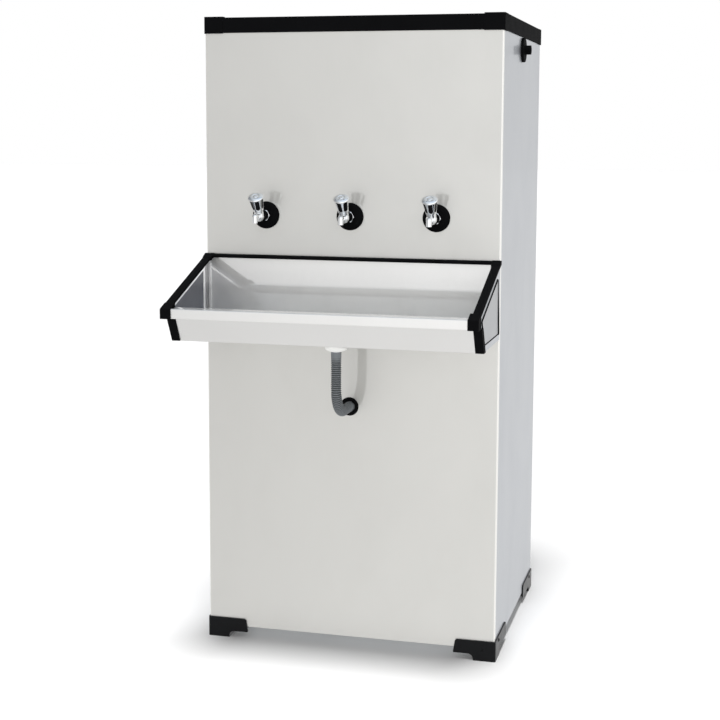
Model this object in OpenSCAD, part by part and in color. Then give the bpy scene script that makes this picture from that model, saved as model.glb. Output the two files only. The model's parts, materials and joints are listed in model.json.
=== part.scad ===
// Industrial water cooler. A folded stainless cabinet on four corner feet carries a chilled
// tank in its upper half and a cooling unit in its base. Three taps stand over a basin
// that drains through a ribbed hose.
// X runs to the right, the front faces -Y and Z is up. The origin is on the floor, midway
// between the front of the basin and the end of the rear drain outlet.
// Profiles are drawn as (reach, height), where reach is the distance in front of the front sheet.

/* [Cabinet] */
// Width over the side sheets
body_w = 674; // [640:1:720]
// Depth over the front and rear sheets
body_d = 569; // [556:1:620]
// Height of the lid's corner caps above the floor
body_h = 1430; // [1420:1:1480]
// Thickness of the stainless sheets
sheet_t = 1; // [0.8:0.1:1.2]
// Width of the folded flanges
fold_w = 14; // [13:1:17]
// Bend radius of the sheets, on their centre line
bend_r = 1.5; // [1:0.1:2]
// Height of the joint between the rear panel and the rear grille
grille_top = 470; // [450:1:500]
// Height of one slot of the rear grille
slot_h = 6; // [4:0.5:8]
// Step between the slots of the rear grille
slot_step = 18; // [14:1:24]

/* [Feet] */
// Height of the sheets' lower edge above the floor
sheet_z = 28; // [26:1:30]
// Height of the top of the feet
foot_top = 46; // [44:1:52]
// Height of the underside of the arms of the feet
foot_under = 15; // [12:1:18]
// Length of the arms along the front and rear
foot_front_arm = 94; // [84:1:110]
// Length of the arms along the sides
foot_side_arm = 150; // [130:1:180]
// Width of the block that stands on the floor
foot_pad = 48; // [42:1:54]
// Distance that the feet stand out from the sheets
foot_proud = 3; // [2:0.5:4]
// Width of the ledge under the sheets
foot_ledge = 34; // [30:1:40]

/* [Lid] */
// Height of the lid rails
rail_h = 34; // [30:1:40]
// Width of the lid rails, inwards from the sheets
rail_w = 24; // [22:1:28]
// Thickness of the top of the lid rails
rail_t = 6; // [5:0.5:8]
// Distance that the lid rails stand out from the sheets
rail_proud = 2; // [1.5:0.5:3]
// Length of each side of the corner caps
cap_len = 44; // [38:1:56]
// Distance that the corner caps stand out from the rails
cap_rise = 2; // [1.5:0.5:3]

/* [Basin] */
// Reach of the basin in front of the front sheet
basin_reach = 277; // [265:1:290]
// Height of the top of the back rail
basin_back_z = 900; // [880:1:905]
// Height of the top of the front lip
nose_z = 805; // [795:1:815]
// Height of the front lip
nose_h = 21; // [16:1:26]
// Depth of the front lip
nose_depth = 36; // [30:1:42]
// Height of the underside of the basin
basin_floor_z = 728; // [722:1:736]
// Reach of the basin's underside
floor_reach = 207; // [190:1:220]
// Width of the black end trim
end_trim_w = 18; // [16:1:22]
// Height of the black end rails
end_rail_h = 14; // [12:1:18]
// Distance that the basin trim stands out from the sheets
basin_proud = 3; // [2:0.5:4]

/* [Taps] */
// Distance between the taps
tap_pitch = 195; // [160:1:220]
// Height of the tap axes
tap_z = 990; // [980:1:1010]
// Diameter of the rosettes
rosette_d = 61; // [54:1:68]
// Thickness of the rosettes
rosette_t = 8; // [6:0.5:10]
// Diameter of the threaded shank
shank_d = 20.4; // [18:0.2:21]
// Diameter of the tap barrel
barrel_d = 24; // [23:0.5:27]
// Reach of the crossing of the handle axis and the tap axis
handle_reach = 47; // [42:1:52]
// Lean of the handle axis towards the front
handle_lean = 32; // [20:1:40]
// Diameter of the handle at its foot
handle_foot_d = 24; // [22:0.5:26]
// Diameter of the handle at its top
handle_top_d = 35; // [32:0.5:38]
// Length of the handle
handle_len = 38; // [36:1:44]
// Diameter of the tap spindle
spindle_d = 10; // [8:0.5:11]
// Reach of the spout's outlet
spout_reach = 80; // [74:1:86]
// Outside diameter of the spout
spout_d = 12.5; // [11:0.5:15]

/* [Drain] */
// Outside diameter of the drain hose over its ribs
hose_d = 23; // [20:0.5:24]
// Bore of the drain hose
hose_bore = 17; // [14:0.5:18]
// Depth of the hose ribs
rib_depth = 1.6; // [1:0.1:2]
// Number of hose ribs
rib_count = 54; // [30:1:70]
// Radius of the hose bend
hose_bend_r = 60; // [50:1:62]
// Diameter of the hose grommet
grommet_d = 42; // [38:1:46]
// Opening of the hose grommet
grommet_bore = 26; // [25:0.5:30]
// Outside diameter of the drain outlet
stub_d = 25.4; // [25.2:0.2:28]
// Reach of the drain outlet behind the cabinet
stub_reach = 28; // [20:1:40]
// Height of the drain outlet
stub_z = 545; // [515:1:555]

/* [Water inlet] */
// Distance of the water inlet behind the front sheet
inlet_depth = 276; // [240:1:320]
// Drop of the water inlet below the top of the lid
inlet_drop = 65; // [62:1:75]
// Diameter of the inlet nipple
nipple_d = 21; // [19:0.2:23]
// Reach of the inlet nipple beside the cabinet
nipple_reach = 19.5; // [15:0.5:20]
// Diameter of the inlet flange
flange_d = 56; // [48:1:58]
// Angle that the float hangs below the horizontal
float_hang = 42; // [30:1:50]
// Distance of the float from its pivot
float_len = 170; // [140:1:190]
// Diameter of the float
float_d = 80; // [60:1:86]

/* [Tank] */
// Height of the shelf under the tank
shelf_z = 912; // [900:1:918]
// Drop of the rim of the tank below the top of the lid
tank_drop = 38; // [32:1:42]
// Thickness of the insulation
insulation_t = 36; // [28:1:40]
// Thickness of the tank wall
tank_wall = 2.5; // [2:0.1:4]
// Mean radius of the evaporator coil
coil_r = 150; // [120:1:160]
// Diameter of the evaporator tube
coil_tube_d = 10; // [8:0.5:12]
// Rise of the evaporator coil with each turn
coil_pitch = 26; // [20:1:27]

/* [Cooling unit] */
// Diameter of the compressor housing
compressor_d = 160; // [140:1:170]
// Height of the compressor housing
compressor_h = 190; // [170:1:210]
// Distance of the compressor from the middle of the cabinet
compressor_x = -180; // [-200:1:-170]
// Width of the condenser
condenser_w = 320; // [280:1:330]
// Height of the condenser
condenser_h = 300; // [270:1:330]
// Depth of the condenser
condenser_d = 66; // [50:1:76]
// Diameter of the fan
fan_d = 250; // [220:1:260]
// Pitch angle of the fan blades
fan_pitch = 28; // [20:1:34]
// Diameter of the fan shaft
fan_shaft_d = 8; // [6:0.5:10]

/* [Fits] */
// Clearance between faces that don't touch
clear = 0.3; // [0.2:0.05:0.5]
// Radial clearance of the turning fits
run_clear = 0.05; // [0.03:0.01:0.1]

/* [Hidden] */
$fn = 48;

// Colours
steel = [0.80, 0.80, 0.79];
steel_side = [0.74, 0.76, 0.78];
black = [0.07, 0.07, 0.08];
chrome = [0.86, 0.88, 0.90];
grey_hose = [0.38, 0.40, 0.42];
white = [0.93, 0.93, 0.92];
galvanised = [0.66, 0.68, 0.70];
foam = [0.95, 0.95, 0.93];
copper = [0.72, 0.45, 0.30];
aluminium = [0.78, 0.79, 0.80];
brass = [0.74, 0.60, 0.30];

// Places in the cabinet
half_w = body_w / 2;
front_y = (basin_reach - body_d - stub_reach) / 2;
rear_y = front_y + body_d;
mid_y = front_y + body_d / 2;
rail_top = body_h - cap_rise;
rail_bottom = rail_top - rail_h;
sheet_top = rail_top - rail_t - clear;
lap_x = half_w - 1.5 * sheet_t - run_clear;
lap_bend_r = 1;
screw_d = 4;
screw_head_d = 8.4;
screw_head_h = 2.4;
screw_len = 6;
lining_gap = screw_len + 2 * sheet_t;
rear_screw_in = 16;
rear_screw_z = concat(
    spread(sheet_z + 2 * rear_screw_in, grille_top - rear_screw_in, 3),
    spread(grille_top + rear_screw_in, sheet_top - 3 * rear_screw_in, 5)
);
foot_screw_in = 42;
foot_slant = 5;
foot_end_r = 6;
foot_ledge_short = 10;
foot_corner_r = 4;
gland_in = 90;
gland_x = -half_w + gland_in;
gland_z = sheet_z + gland_in;
gland_d = 20;
gland_af = 26;
gland_bore = 8;
gland_reach = 20;
gland_body_d = 22;
gland_hex_t = 6;
gland_nut_t = 5;
foot_screw_z = (sheet_z + foot_top) / 2;

// Lid
ledge_drop = 3;
ledge_w = 10;
lid_flange_h = 11;
cap_corner_r = 5;
cap_proud = 1;

// Basin
nose_reach = basin_reach - basin_proud;
apron_reach = nose_reach - nose_depth;
rake = (basin_back_z - nose_z) / nose_reach;
rake_tall = end_rail_h * sqrt(1 + rake * rake);
back_rail_h = 8;
upstand_top = basin_back_z - back_rail_h;
back_rail_d = 14;
tray_return = 14;
hem_h = 9;
plate_bite = 6.5;
front_cap_w = 23;
front_cap_d = 30;
rear_cap_w = 20;
rear_cap_d = 22;
cap_over = 1;
trim_x = half_w + basin_proud;
cover_margin = 17;
cover_top_margin = 27;
cover_back = 21;
cover_t = 1;
stud_d = 6;
stud_len = 16;
stud_nut_t = 5;
stud_in = 47;
stud_x = [-half_w + stud_in, -half_w / 2, half_w / 2, half_w - stud_in];
stud_drop = 18;
stud_z = upstand_top - stud_drop;

// Taps
tap_x = [-tap_pitch, 0, tap_pitch];
handle_turn = [-8, 17, -17];
collar_af = 23;
collar_t = 9;
boss_d = 21;
handle_gap = 0.5;
handle_foot_z = spout_d / 2 + 1.5 + handle_foot_d / 2 * sin(handle_lean);
handle_seat = handle_foot_z / cos(handle_lean);
boss_top = handle_seat - handle_gap;
spout_drop = 14;
tank_front = lining_gap + insulation_t;
tank_inner = tank_front + tank_wall;
back_nut_t = 10;
back_nut_af = 30;
shank_in = tank_inner + back_nut_t + 4;
water_bore = spout_d * 0.66;
spindle_square = spindle_d * 0.7;
square_foot = handle_seat + 3;
square_len = 18;
flute_count = 6;
flute_r = 13;
flute_depth = 2.4;

// Drain hose: its route runs down, round one bend and level through the grommet
hose_route = [[112, 704], [112, 563], [-23, 563]];
drain_reach = hose_route[0].x;
drain_tail = basin_floor_z + sheet_t - hose_route[0].y;
grommet_z = hose_route[1].y;
drain_neck_d = 40;
strainer_d = 64;
strainer_t = 2;
strainer_holes = 6;
strainer_hole_d = hose_bore * 0.29;
strainer_ring_r = hose_bore * 0.34;
drain_nut_d = 50;
drain_nut_taper = 7;
grommet_t = 2;
pipe_d = hose_d + 2;
pipe_wall = 3;
pipe_inside = 44;
pipe_run = 44;
stub_collar = 4;

// Water inlet
inlet_y = front_y + inlet_depth;
inlet_z = body_h - inlet_drop;
flange_t = 6;
inlet_bore = 14;
inlet_shank_d = nipple_d - 1;
inlet_nut_t = 9;
inlet_nut_af = 32;
valve_head_d = 18;
valve_len = 30;
float_pin_d = 4;
float_rod_d = 5;
fork_gap = 12;
fork_t = 3;
fork_h = 14;

// Tank
lining_half_w = half_w - lining_gap;
tank_half_w = lining_half_w - insulation_t;
tank_half_d = body_d / 2 - lining_gap - insulation_t;
tank_floor_z = shelf_z + insulation_t;
tank_rim_z = body_h - tank_drop;
tank_corner_r = 28;
cover_lip = 10;
cover_skirt = 4;
shelf_flange = 26;
coil_lift = 38;
coil_z = tank_floor_z + coil_lift;
float_room = float_len * sin(float_hang) + float_d / 2 + coil_tube_d;
coil_turns = floor((inlet_z - float_room - coil_z) / coil_pitch - 0.5) + 0.5;
coil_first_run = 40;
coil_last_run = 120;
tail_drop = 40;
tail_end_z = shelf_z - tail_drop;
coil_first = [coil_r, mid_y - coil_first_run, coil_z];
coil_last = [-coil_r, mid_y - coil_last_run, coil_z + coil_pitch * coil_turns];
collar_d = 24;
collar_h = 8;

// Cooling unit
pan_t = 1.5;
pan_top = sheet_z + pan_t;
pan_flange = 32;
mount_h = 12;
compressor_back = 230;
compressor_y = front_y + compressor_back;
compressor_z = pan_top + mount_h;
foot_plate = [210, 160, 3];
foot_plate_r = 16;
relay_box = [40, 68, 62];
mount_pitch = [176, 126];
mount_d = 26;
mount_bolt_d = 8;
mount_washer_d = 18;
pipe_stub = [30, 55];
stub_len = 16;
line_d = 8;
condenser_x = 100;
condenser_gap = 26;
condenser_back = rear_y - condenser_gap;
condenser_mid = condenser_back - condenser_d / 2;
condenser_lift = 34;
condenser_z = pan_top + condenser_lift;
fin_count = 24;
fin_t = 1;
tube_count = 8;
tube_d = 10;
tube_margin = 20;
tube_step = (condenser_h - 2 * tube_margin) / (tube_count - 1);
tube_end = 16;
condenser_left = condenser_x - condenser_w / 2 - tube_end;
fan_z = condenser_z + condenser_h / 2;
fan_gap = 34;
fan_y = condenser_back - condenser_d - fan_gap;
hub_d = 56;
hub_h = 22;
blade_count = 4;
blade_t = 2;
blade_root = 26;
blade_tip = 56;
motor_d = 84;
motor_len = 60;
motor_gap = 16;
motor_plate_w = 110;
motor_plate_t = 3;
shaft_bite = 36;
drier_d = 26;
drier_len = 110;
drier_gap = [46, 60, 90];
drier_x = condenser_left - drier_gap.x;
drier_y = condenser_mid - drier_gap.y;
drier_z = condenser_z + drier_gap.z;
hot_rise = 174;
cold_drop = 200;

// Evenly spaced values from a to b
function spread(a, b, count) = [for (k = [0 : count - 1]) a + (b - a) * k / (count - 1)];

// Unit vector along v
function unit(v) = v / norm(v);

// Plane vector turned a quarter to the left
function left_of(v) = [-v.y, v.x];

// Arc of radius r that rounds the corner b between a and c, in n steps
function corner_arc(a, b, c, r, n) =
    let (u = unit(a - b), v = unit(c - b))
    let (half = acos(u * v) / 2, sweep = 180 - 2 * half)
    let (centre = b + unit(u + v) * r / sin(half))
    let (first = b + u * r / tan(half) - centre, last = b + v * r / tan(half) - centre)
    [for (k = [0 : n]) let (a = sweep * k / n)
        centre + (first * sin(sweep - a) + last * sin(a)) / sin(sweep)];

// Open path with its corners rounded
function round_path(p, r, n = 4) = [
    p[0],
    for (i = [1 : len(p) - 2]) each corner_arc(p[i - 1], p[i], p[i + 1], r, n),
    p[len(p) - 1]
];

// Closed outline with each corner rounded to its own radius
function round_loop(p, radii, n = 5) = [
    for (i = [0 : len(p) - 1])
        each corner_arc(p[(i + len(p) - 1) % len(p)], p[i], p[(i + 1) % len(p)], radii[i % len(radii)], n)
];

// Offset direction of a path at point i, long enough to keep the sheet's thickness
function mitre(p, i) =
    let (into = unit(p[max(i, 1)] - p[max(i, 1) - 1]))
    let (out = unit(p[min(i, len(p) - 2) + 1] - p[min(i, len(p) - 2)]))
    let (m = left_of(unit(into + out)))
    m / (m * left_of(into));

// Outline of a bent sheet that follows a path on its centre line
function bent_sheet(p, t = sheet_t, r = bend_r) =
    let (q = round_path(p, r, 3), last = len(q) - 1)
    concat([for (i = [0 : last]) q[i] + mitre(q, i) * t / 2],
           [for (i = [last : -1 : 0]) q[i] - mitre(q, i) * t / 2]);

// Direction of a path at point i
function heading(p, i) = unit(
    (i < len(p) - 1 ? unit(p[i + 1] - p[i]) : [0, 0, 0]) + (i > 0 ? unit(p[i] - p[i - 1]) : [0, 0, 0])
);

// Sideways vectors carried along a path without twist
function carried(p, start) = [
    for (i = 0, n = start; i < len(p); n = next_side(p, i, n), i = i + 1) n
];
function next_side(p, i, n) = i + 1 < len(p) ? square_to(n, heading(p, i + 1)) : n;
function square_to(n, t) = unit(n - (n * t) * t);

// Rings of points round a path, with a radius for each ring
function rings(p, radii, sides, start) =
    let (side = carried(p, square_to(start, heading(p, 0))))
    [for (i = [0 : len(p) - 1]) let (up = cross(heading(p, i), side[i]))
        [for (k = [0 : sides - 1]) let (a = 360 * k / sides)
            p[i] + radii[i % len(radii)] * (cos(a) * side[i] + sin(a) * up)]];

// Triangles of the skin between rings, numbered from a first point
function skin(count, sides, first, inward) = [
    for (i = [0 : count - 2], k = [0 : sides - 1])
        let (a = first + i * sides + k, b = first + i * sides + (k + 1) % sides)
        each inward ? [[a, a + sides, b], [b, a + sides, b + sides]]
                    : [[a, b, a + sides], [b, b + sides, a + sides]]
];

// Triangles of a flat ring between an outer and an inner circle of points
function ring_end(outer, inner, sides, inward) = [
    for (k = [0 : sides - 1])
        let (m = (k + 1) % sides)
        each inward ? [[outer + k, inner + k, outer + m], [inner + k, inner + m, outer + m]]
                    : [[outer + k, outer + m, inner + k], [inner + k, outer + m, inner + m]]
];

// Tube with a bore along two rows of points, one for its outside and one for its bore
module hollow_tube(outer_path, outer_radii, bore_path, bore_r, sides, start = [1, 0, 0]) {
    outer = [for (ring = rings(outer_path, outer_radii, sides, start)) each ring];
    bore = [for (ring = rings(bore_path, [bore_r], sides, start)) each ring];
    n = len(outer);
    polyhedron(
        points = concat(outer, bore),
        faces = concat(
            skin(len(outer_path), sides, 0, true),
            skin(len(bore_path), sides, n, false),
            ring_end(0, n, sides, false),
            ring_end(n - sides, n + len(bore) - sides, sides, true)
        ),
        convexity = 8
    );
}

// Solid tube along a path
module line_tube(path, d, sides = 8, start = [1, 0, 0]) {
    points = [for (ring = rings(path, [d / 2], sides, start)) each ring];
    n = len(points);
    polyhedron(
        points = points,
        faces = concat(
            skin(len(path), sides, 0, true),
            [for (k = [1 : sides - 2]) [0, k, k + 1]],
            [for (k = [1 : sides - 2]) [n - sides, n - sides + k + 1, n - sides + k]]
        ),
        convexity = 8
    );
}

// Profile drawn as (reach, height), carried along X from one side to the other
module across(x_from, x_to) {
    translate([x_to, front_y, 0]) rotate([90, 0, -90]) linear_extrude(x_to - x_from) children();
}

// Profile drawn as (x, height), carried along Y
module deep(y_from, y_to) {
    translate([0, y_to, 0]) rotate([90, 0, 0]) linear_extrude(y_to - y_from) children();
}

// Axis that points out of the front sheet
module forwards(x, z) {
    translate([x, front_y, z]) rotate([90, 0, 0]) children();
}

// Axis that points out of the rear sheet
module backwards(x, z) {
    translate([x, rear_y, z]) rotate([-90, 0, 0]) children();
}

// Axis that points out of the right side sheet
module sideways(y, z) {
    translate([half_w, y, z]) rotate([0, 90, 0]) children();
}

// Both ends of the basin, from the right one
module both_sides() {
    children();
    mirror([1, 0, 0]) children();
}

// Hexagonal bar by its width across flats
module hex_bar(af, h) {
    cylinder(d = af / cos(30), h = h, $fn = 6);
}

// Pan-head screw whose head rests on z = 0
module screw() {
    rotate_extrude() polygon([
        [0, -screw_len], [screw_d / 2, -screw_len], [screw_d / 2, 0], [screw_head_d / 2, 0],
        [screw_head_d / 2, screw_head_h * 0.5], [screw_head_d * 0.32, screw_head_h], [0, screw_head_h]
    ]);
}

// Hole for a screw through thin sheets
module screw_hole() {
    translate([0, 0, -screw_len]) cylinder(d = screw_d + 2 * clear, h = 2 * screw_len);
}

module front_panel() {
    color(steel) difference() {
        union() {
            translate([0, front_y, sheet_z]) linear_extrude(sheet_top - sheet_z) polygon(bent_sheet([
                [-half_w + sheet_t / 2, fold_w], [-half_w + sheet_t / 2, sheet_t / 2],
                [half_w - sheet_t / 2, sheet_t / 2], [half_w - sheet_t / 2, fold_w]
            ]));
            translate([-half_w + 3 * sheet_t, front_y + sheet_t / 2, sheet_top - sheet_t])
                cube([body_w - 6 * sheet_t, fold_w - sheet_t / 2, sheet_t]);
        }
        for (x = tap_x) forwards(x, tap_z) through_hole(shank_d + 2 * clear);
        forwards(0, grommet_z) through_hole(grommet_bore + 2 * grommet_t);
        for (x = stud_x) forwards(x, stud_z) through_hole(stud_d + 2 * clear);
    }
}

// Round hole through a sheet whose outer face is at z = 0
module through_hole(d) {
    translate([0, 0, -3 * sheet_t]) cylinder(d = d, h = 6 * sheet_t);
}

// Side sheet of the right-hand side: a joggled lap behind the front sheet and a rear flange
module side_sheet() {
    step_y = front_y + fold_w + clear;
    joggle = 4 * sheet_t;
    flange_y = rear_y - 1.5 * sheet_t;
    x = half_w - sheet_t / 2;
    translate([0, 0, sheet_z]) linear_extrude(sheet_top - sheet_z) polygon(bent_sheet([
        [half_w - fold_w, flange_y], [x, flange_y], [x, step_y + joggle], [lap_x, step_y],
        [lap_x, step_y - fold_w + joggle]
    ], r = lap_bend_r));
}

// Holes that both side sheets have
module side_holes() {
    for (y = [front_y + foot_screw_in, rear_y - foot_screw_in])
        sideways(y, foot_screw_z) screw_hole();
    for (z = rear_screw_z) backwards(half_w - fold_w / 2, z) screw_hole();
}

module left_side_panel() {
    color(steel_side) mirror([1, 0, 0]) difference() {
        side_sheet();
        side_holes();
    }
}

module right_side_panel() {
    color(steel_side) difference() {
        side_sheet();
        side_holes();
        sideways(inlet_y, inlet_z) through_hole(inlet_shank_d + 2 * clear);
    }
}

// Flat sheet on the back of the cabinet, between two heights
module rear_sheet(z_from, z_to) {
    difference() {
        translate([-half_w + sheet_t, rear_y - sheet_t, z_from])
            cube([body_w - 2 * sheet_t, sheet_t, z_to - z_from]);
        for (z = rear_screw_z) both_sides() backwards(half_w - fold_w / 2, z) screw_hole();
    }
}

module rear_panel() {
    color(galvanised) difference() {
        union() {
            rear_sheet(grille_top + clear, sheet_top);
            translate([-half_w + fold_w + 2 * sheet_t, rear_y - fold_w, sheet_top - sheet_t])
                cube([body_w - 2 * fold_w - 4 * sheet_t, fold_w - sheet_t / 2, sheet_t]);
        }
        backwards(0, stub_z) through_hole(pipe_d + 2 * clear);
    }
}

module rear_grille() {
    slot_w = condenser_w / 2 - 24;
    slot_rows = floor((condenser_h - slot_h) / slot_step);
    color(galvanised) difference() {
        rear_sheet(sheet_z, grille_top - clear);
        for (row = [0 : slot_rows], side = [-1, 1])
            backwards(condenser_x + side * condenser_w / 4, condenser_z + row * slot_step + slot_h / 2)
                translate([0, 0, -3 * sheet_t]) linear_extrude(6 * sheet_t) slot(slot_w, slot_h);
        backwards(gland_x, gland_z) through_hole(gland_d + 2 * clear);
    }
}

// Slot with round ends, drawn about its middle
module slot(w, h) {
    square([w - h, h], center = true);
    for (end = [-1, 1]) translate([end * (w - h) / 2, 0]) circle(d = h, $fn = 24);
}

module base_pan() {
    x = half_w - lining_gap;
    y = body_d / 2 - lining_gap;
    in_x = x - pan_t;
    in_y = y - pan_t;
    color(galvanised) difference() {
        translate([-x, mid_y - y, sheet_z]) cube([2 * x, 2 * y, pan_flange]);
        translate([-in_x, mid_y - in_y, pan_top]) cube([2 * in_x, 2 * in_y, pan_flange]);
    }
}

module tank_shelf() {
    x = half_w - sheet_t;
    y_from = front_y + fold_w + 6 * sheet_t;
    y_to = rear_y - lining_gap;
    color(galvanised) difference() {
        deep(y_from, y_to) polygon(bent_sheet([
            [-x + pan_t / 2, shelf_z - shelf_flange], [-x + pan_t / 2, shelf_z - pan_t / 2],
            [x - pan_t / 2, shelf_z - pan_t / 2], [x - pan_t / 2, shelf_z - shelf_flange]
        ], t = pan_t));
        coil_tail_holes();
    }
}

// One arm of a foot along +X: the skirt outside the sheet and the ledge below it
module foot_arm(arm_len) {
    arch_r = foot_under * 0.8;
    side = [[-foot_proud, 0], [foot_pad, 0], [foot_pad, foot_under]];
    end = [[arm_len, foot_under], [arm_len - foot_slant, foot_top]];
    skirt = concat(side, end, [[-foot_proud, foot_top]]);
    ledge_len = arm_len - foot_ledge_short;
    ledge = concat(side, [[ledge_len, foot_under], [ledge_len, sheet_z], [-foot_proud, sheet_z]]);
    deep(-foot_proud, 0) polygon(round_loop(skirt, [1.5, 2, arch_r, 2, foot_end_r, 1.5]));
    deep(-foot_proud, foot_ledge) polygon(round_loop(ledge, [1.5, 2, arch_r, 1, 1, 0.5]));
}

// Corner foot, with its corner at the origin and its arms along +X and +Y
module corner_foot() {
    outer = -foot_proud;
    reach = max(foot_front_arm, foot_side_arm) + 1;
    difference() {
        intersection() {
            union() {
                foot_arm(foot_front_arm);
                mirror([1, -1, 0]) foot_arm(foot_side_arm);
                translate([outer, outer, 0]) cube([foot_pad - outer, foot_pad - outer, sheet_z]);
            }
            linear_extrude(foot_top) polygon(round_loop(
                [[outer, outer], [reach, outer], [reach, reach], [outer, reach]], [foot_corner_r, 1, 1, 1]));
        }
        translate([0, foot_screw_in, foot_screw_z]) rotate([0, -90, 0]) screw_hole();
    }
}

module front_left_foot() {
    color(black) translate([-half_w, front_y, 0]) corner_foot();
}

module front_right_foot() {
    color(black) translate([half_w, front_y, 0]) mirror([1, 0, 0]) corner_foot();
}

module rear_left_foot() {
    color(black) translate([-half_w, rear_y, 0]) mirror([0, 1, 0]) corner_foot();
}

module rear_right_foot() {
    color(black) translate([half_w, rear_y, 0]) mirror([0, 1, 0]) mirror([1, 0, 0]) corner_foot();
}

module foot_screws() {
    color(black) both_sides() for (y = [front_y + foot_screw_in, rear_y - foot_screw_in])
        sideways(y, foot_screw_z) translate([0, 0, foot_proud]) screw();
}

module panel_screws() {
    color(galvanised) both_sides() for (z = rear_screw_z) backwards(half_w - fold_w / 2, z) screw();
}

module cable_gland() {
    color(black) backwards(gland_x, gland_z) difference() {
        union() {
            translate([0, 0, -gland_d / 2]) cylinder(d = gland_d, h = gland_d / 2 + 1);
            hex_bar(gland_af, gland_hex_t);
            translate([0, 0, -sheet_t - gland_nut_t]) hex_bar(gland_af, gland_nut_t);
            rotate_extrude() polygon([
                [0, 1], [gland_body_d / 2, 1], [gland_body_d / 2, gland_reach - gland_hex_t],
                [gland_body_d * 0.36, gland_reach], [0, gland_reach]
            ]);
        }
        translate([0, 0, -gland_d]) cylinder(d = gland_bore, h = gland_d + gland_reach + 1);
    }
}

// Section of a lid rail, drawn as (inwards, height) from the sheet's outer face
module rail_section(top = rail_top, proud = rail_proud) {
    polygon(round_loop([
        [-proud, top], [rail_w - ledge_w, top], [rail_w - ledge_w, rail_top - ledge_drop],
        [rail_w, rail_top - ledge_drop], [rail_w, rail_top - rail_t], [-clear, rail_top - rail_t],
        [-clear, rail_bottom], [-proud, rail_bottom]
    ], [1.2, 0.5, 0.2, 0.5, 0.5, 0.2, 0.5, 0.5]));
}

module lid_front_rail() {
    x = half_w + rail_proud - cap_len;
    color(black) translate([x, front_y, 0]) rotate([90, 0, -90]) mirror([1, 0, 0])
        linear_extrude(2 * x) rail_section();
}

module lid_rear_rail() {
    x = half_w + rail_proud - cap_len;
    color(black) translate([x, rear_y, 0]) rotate([90, 0, -90]) linear_extrude(2 * x) rail_section();
}

module lid_side_rails() {
    y_from = front_y - rail_proud + cap_len;
    y_to = rear_y + rail_proud - cap_len;
    color(black) both_sides() translate([half_w, 0, 0]) mirror([1, 0, 0])
        deep(y_from, y_to) rail_section(body_h, rail_proud + cap_proud);
}

// Corner cap with its outer corner towards -X and -Y, and the cabinet's corner at the origin
module corner_cap() {
    out = -rail_proud - cap_proud;
    reach = cap_len - rail_proud;
    inner = rail_w - ledge_w;
    difference() {
        union() {
            translate([0, 0, rail_bottom - 1]) linear_extrude(body_h - rail_bottom + 1)
                polygon(round_loop([[out, out], [reach, out], [reach, inner], [inner, inner],
                    [inner, reach], [out, reach]], [cap_corner_r, 0.5, 0.5, 1, 0.5, 0.5]));
            translate([0, 0, rail_top - rail_t]) linear_extrude(rail_t - ledge_drop) polygon([
                [0, 0], [reach, 0], [reach, rail_w], [rail_w, rail_w], [rail_w, reach], [0, reach]
            ]);
        }
        translate([-clear, -clear, rail_bottom - 2])
            cube([cap_len * 2, cap_len * 2, rail_h - rail_t + 2]);
    }
}

module lid_corner_caps() {
    color(black) both_sides() {
        translate([-half_w, front_y, 0]) corner_cap();
        translate([-half_w, rear_y, 0]) mirror([0, 1, 0]) corner_cap();
    }
}

module lid_panel() {
    edge = rail_w - ledge_w + clear;
    flange = rail_w + clear;
    z = rail_top - ledge_drop;
    color(steel) union() {
        inside_sheets(edge, z) square_plate(edge, sheet_t);
        difference() {
            inside_sheets(flange, z - lid_flange_h) square_plate(flange, lid_flange_h + sheet_t / 2);
            inside_sheets(flange + sheet_t, z - lid_flange_h - 1)
                square_plate(flange + sheet_t, lid_flange_h + 1);
        }
    }
}

// Corner of a level plate that lies a margin inside the sheets
module inside_sheets(margin, z) {
    translate([-half_w + margin, front_y + margin, z]) children();
}

// Level plate of a thickness, a margin smaller than the cabinet on each side
module square_plate(margin, t) {
    cube([body_w - 2 * margin, body_d - 2 * margin, t]);
}

// Height of the raked top line of the basin's ends at a reach
function rail_line(reach) = basin_back_z - rake * reach;

module basin_tray() {
    inner = half_w - sheet_t;
    t = sheet_t;
    floor_z = basin_floor_z + t / 2;
    lip_z = nose_z - nose_h + t / 2;
    color(steel) difference() {
        union() {
            across(-inner, inner) polygon(bent_sheet([
                [t / 2, upstand_top], [t / 2, floor_z], [floor_reach - t / 2, floor_z],
                [apron_reach - t / 2, lip_z], [nose_reach - t / 2, lip_z],
                [nose_reach - t / 2, nose_z - t / 2], [apron_reach + t, nose_z - t / 2],
                [apron_reach + t, nose_z - hem_h]
            ]));
            both_sides() across(inner - t, inner) polygon([
                [t / 2, upstand_top - 1], [t / 2, floor_z], [tray_return, floor_z],
                [tray_return, upstand_top - 1 - rake * tray_return]
            ]);
        }
        drain_axis() translate([0, 0, -2 * t]) cylinder(d = drain_neck_d + 2 * clear, h = 4 * t);
    }
}

// End plate of the basin on the right-hand side
module basin_end() {
    across(half_w - sheet_t, half_w) polygon([
        [0, basin_floor_z], [floor_reach, basin_floor_z], [apron_reach, nose_z - nose_h],
        [nose_reach, nose_z - nose_h], [nose_reach, rail_line(nose_reach) - plate_bite],
        [0, rail_line(0) - plate_bite]
    ]);
}

module basin_left_end() {
    color(steel_side) mirror([1, 0, 0]) basin_end();
}

module basin_right_end() {
    color(steel_side) basin_end();
}

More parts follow.
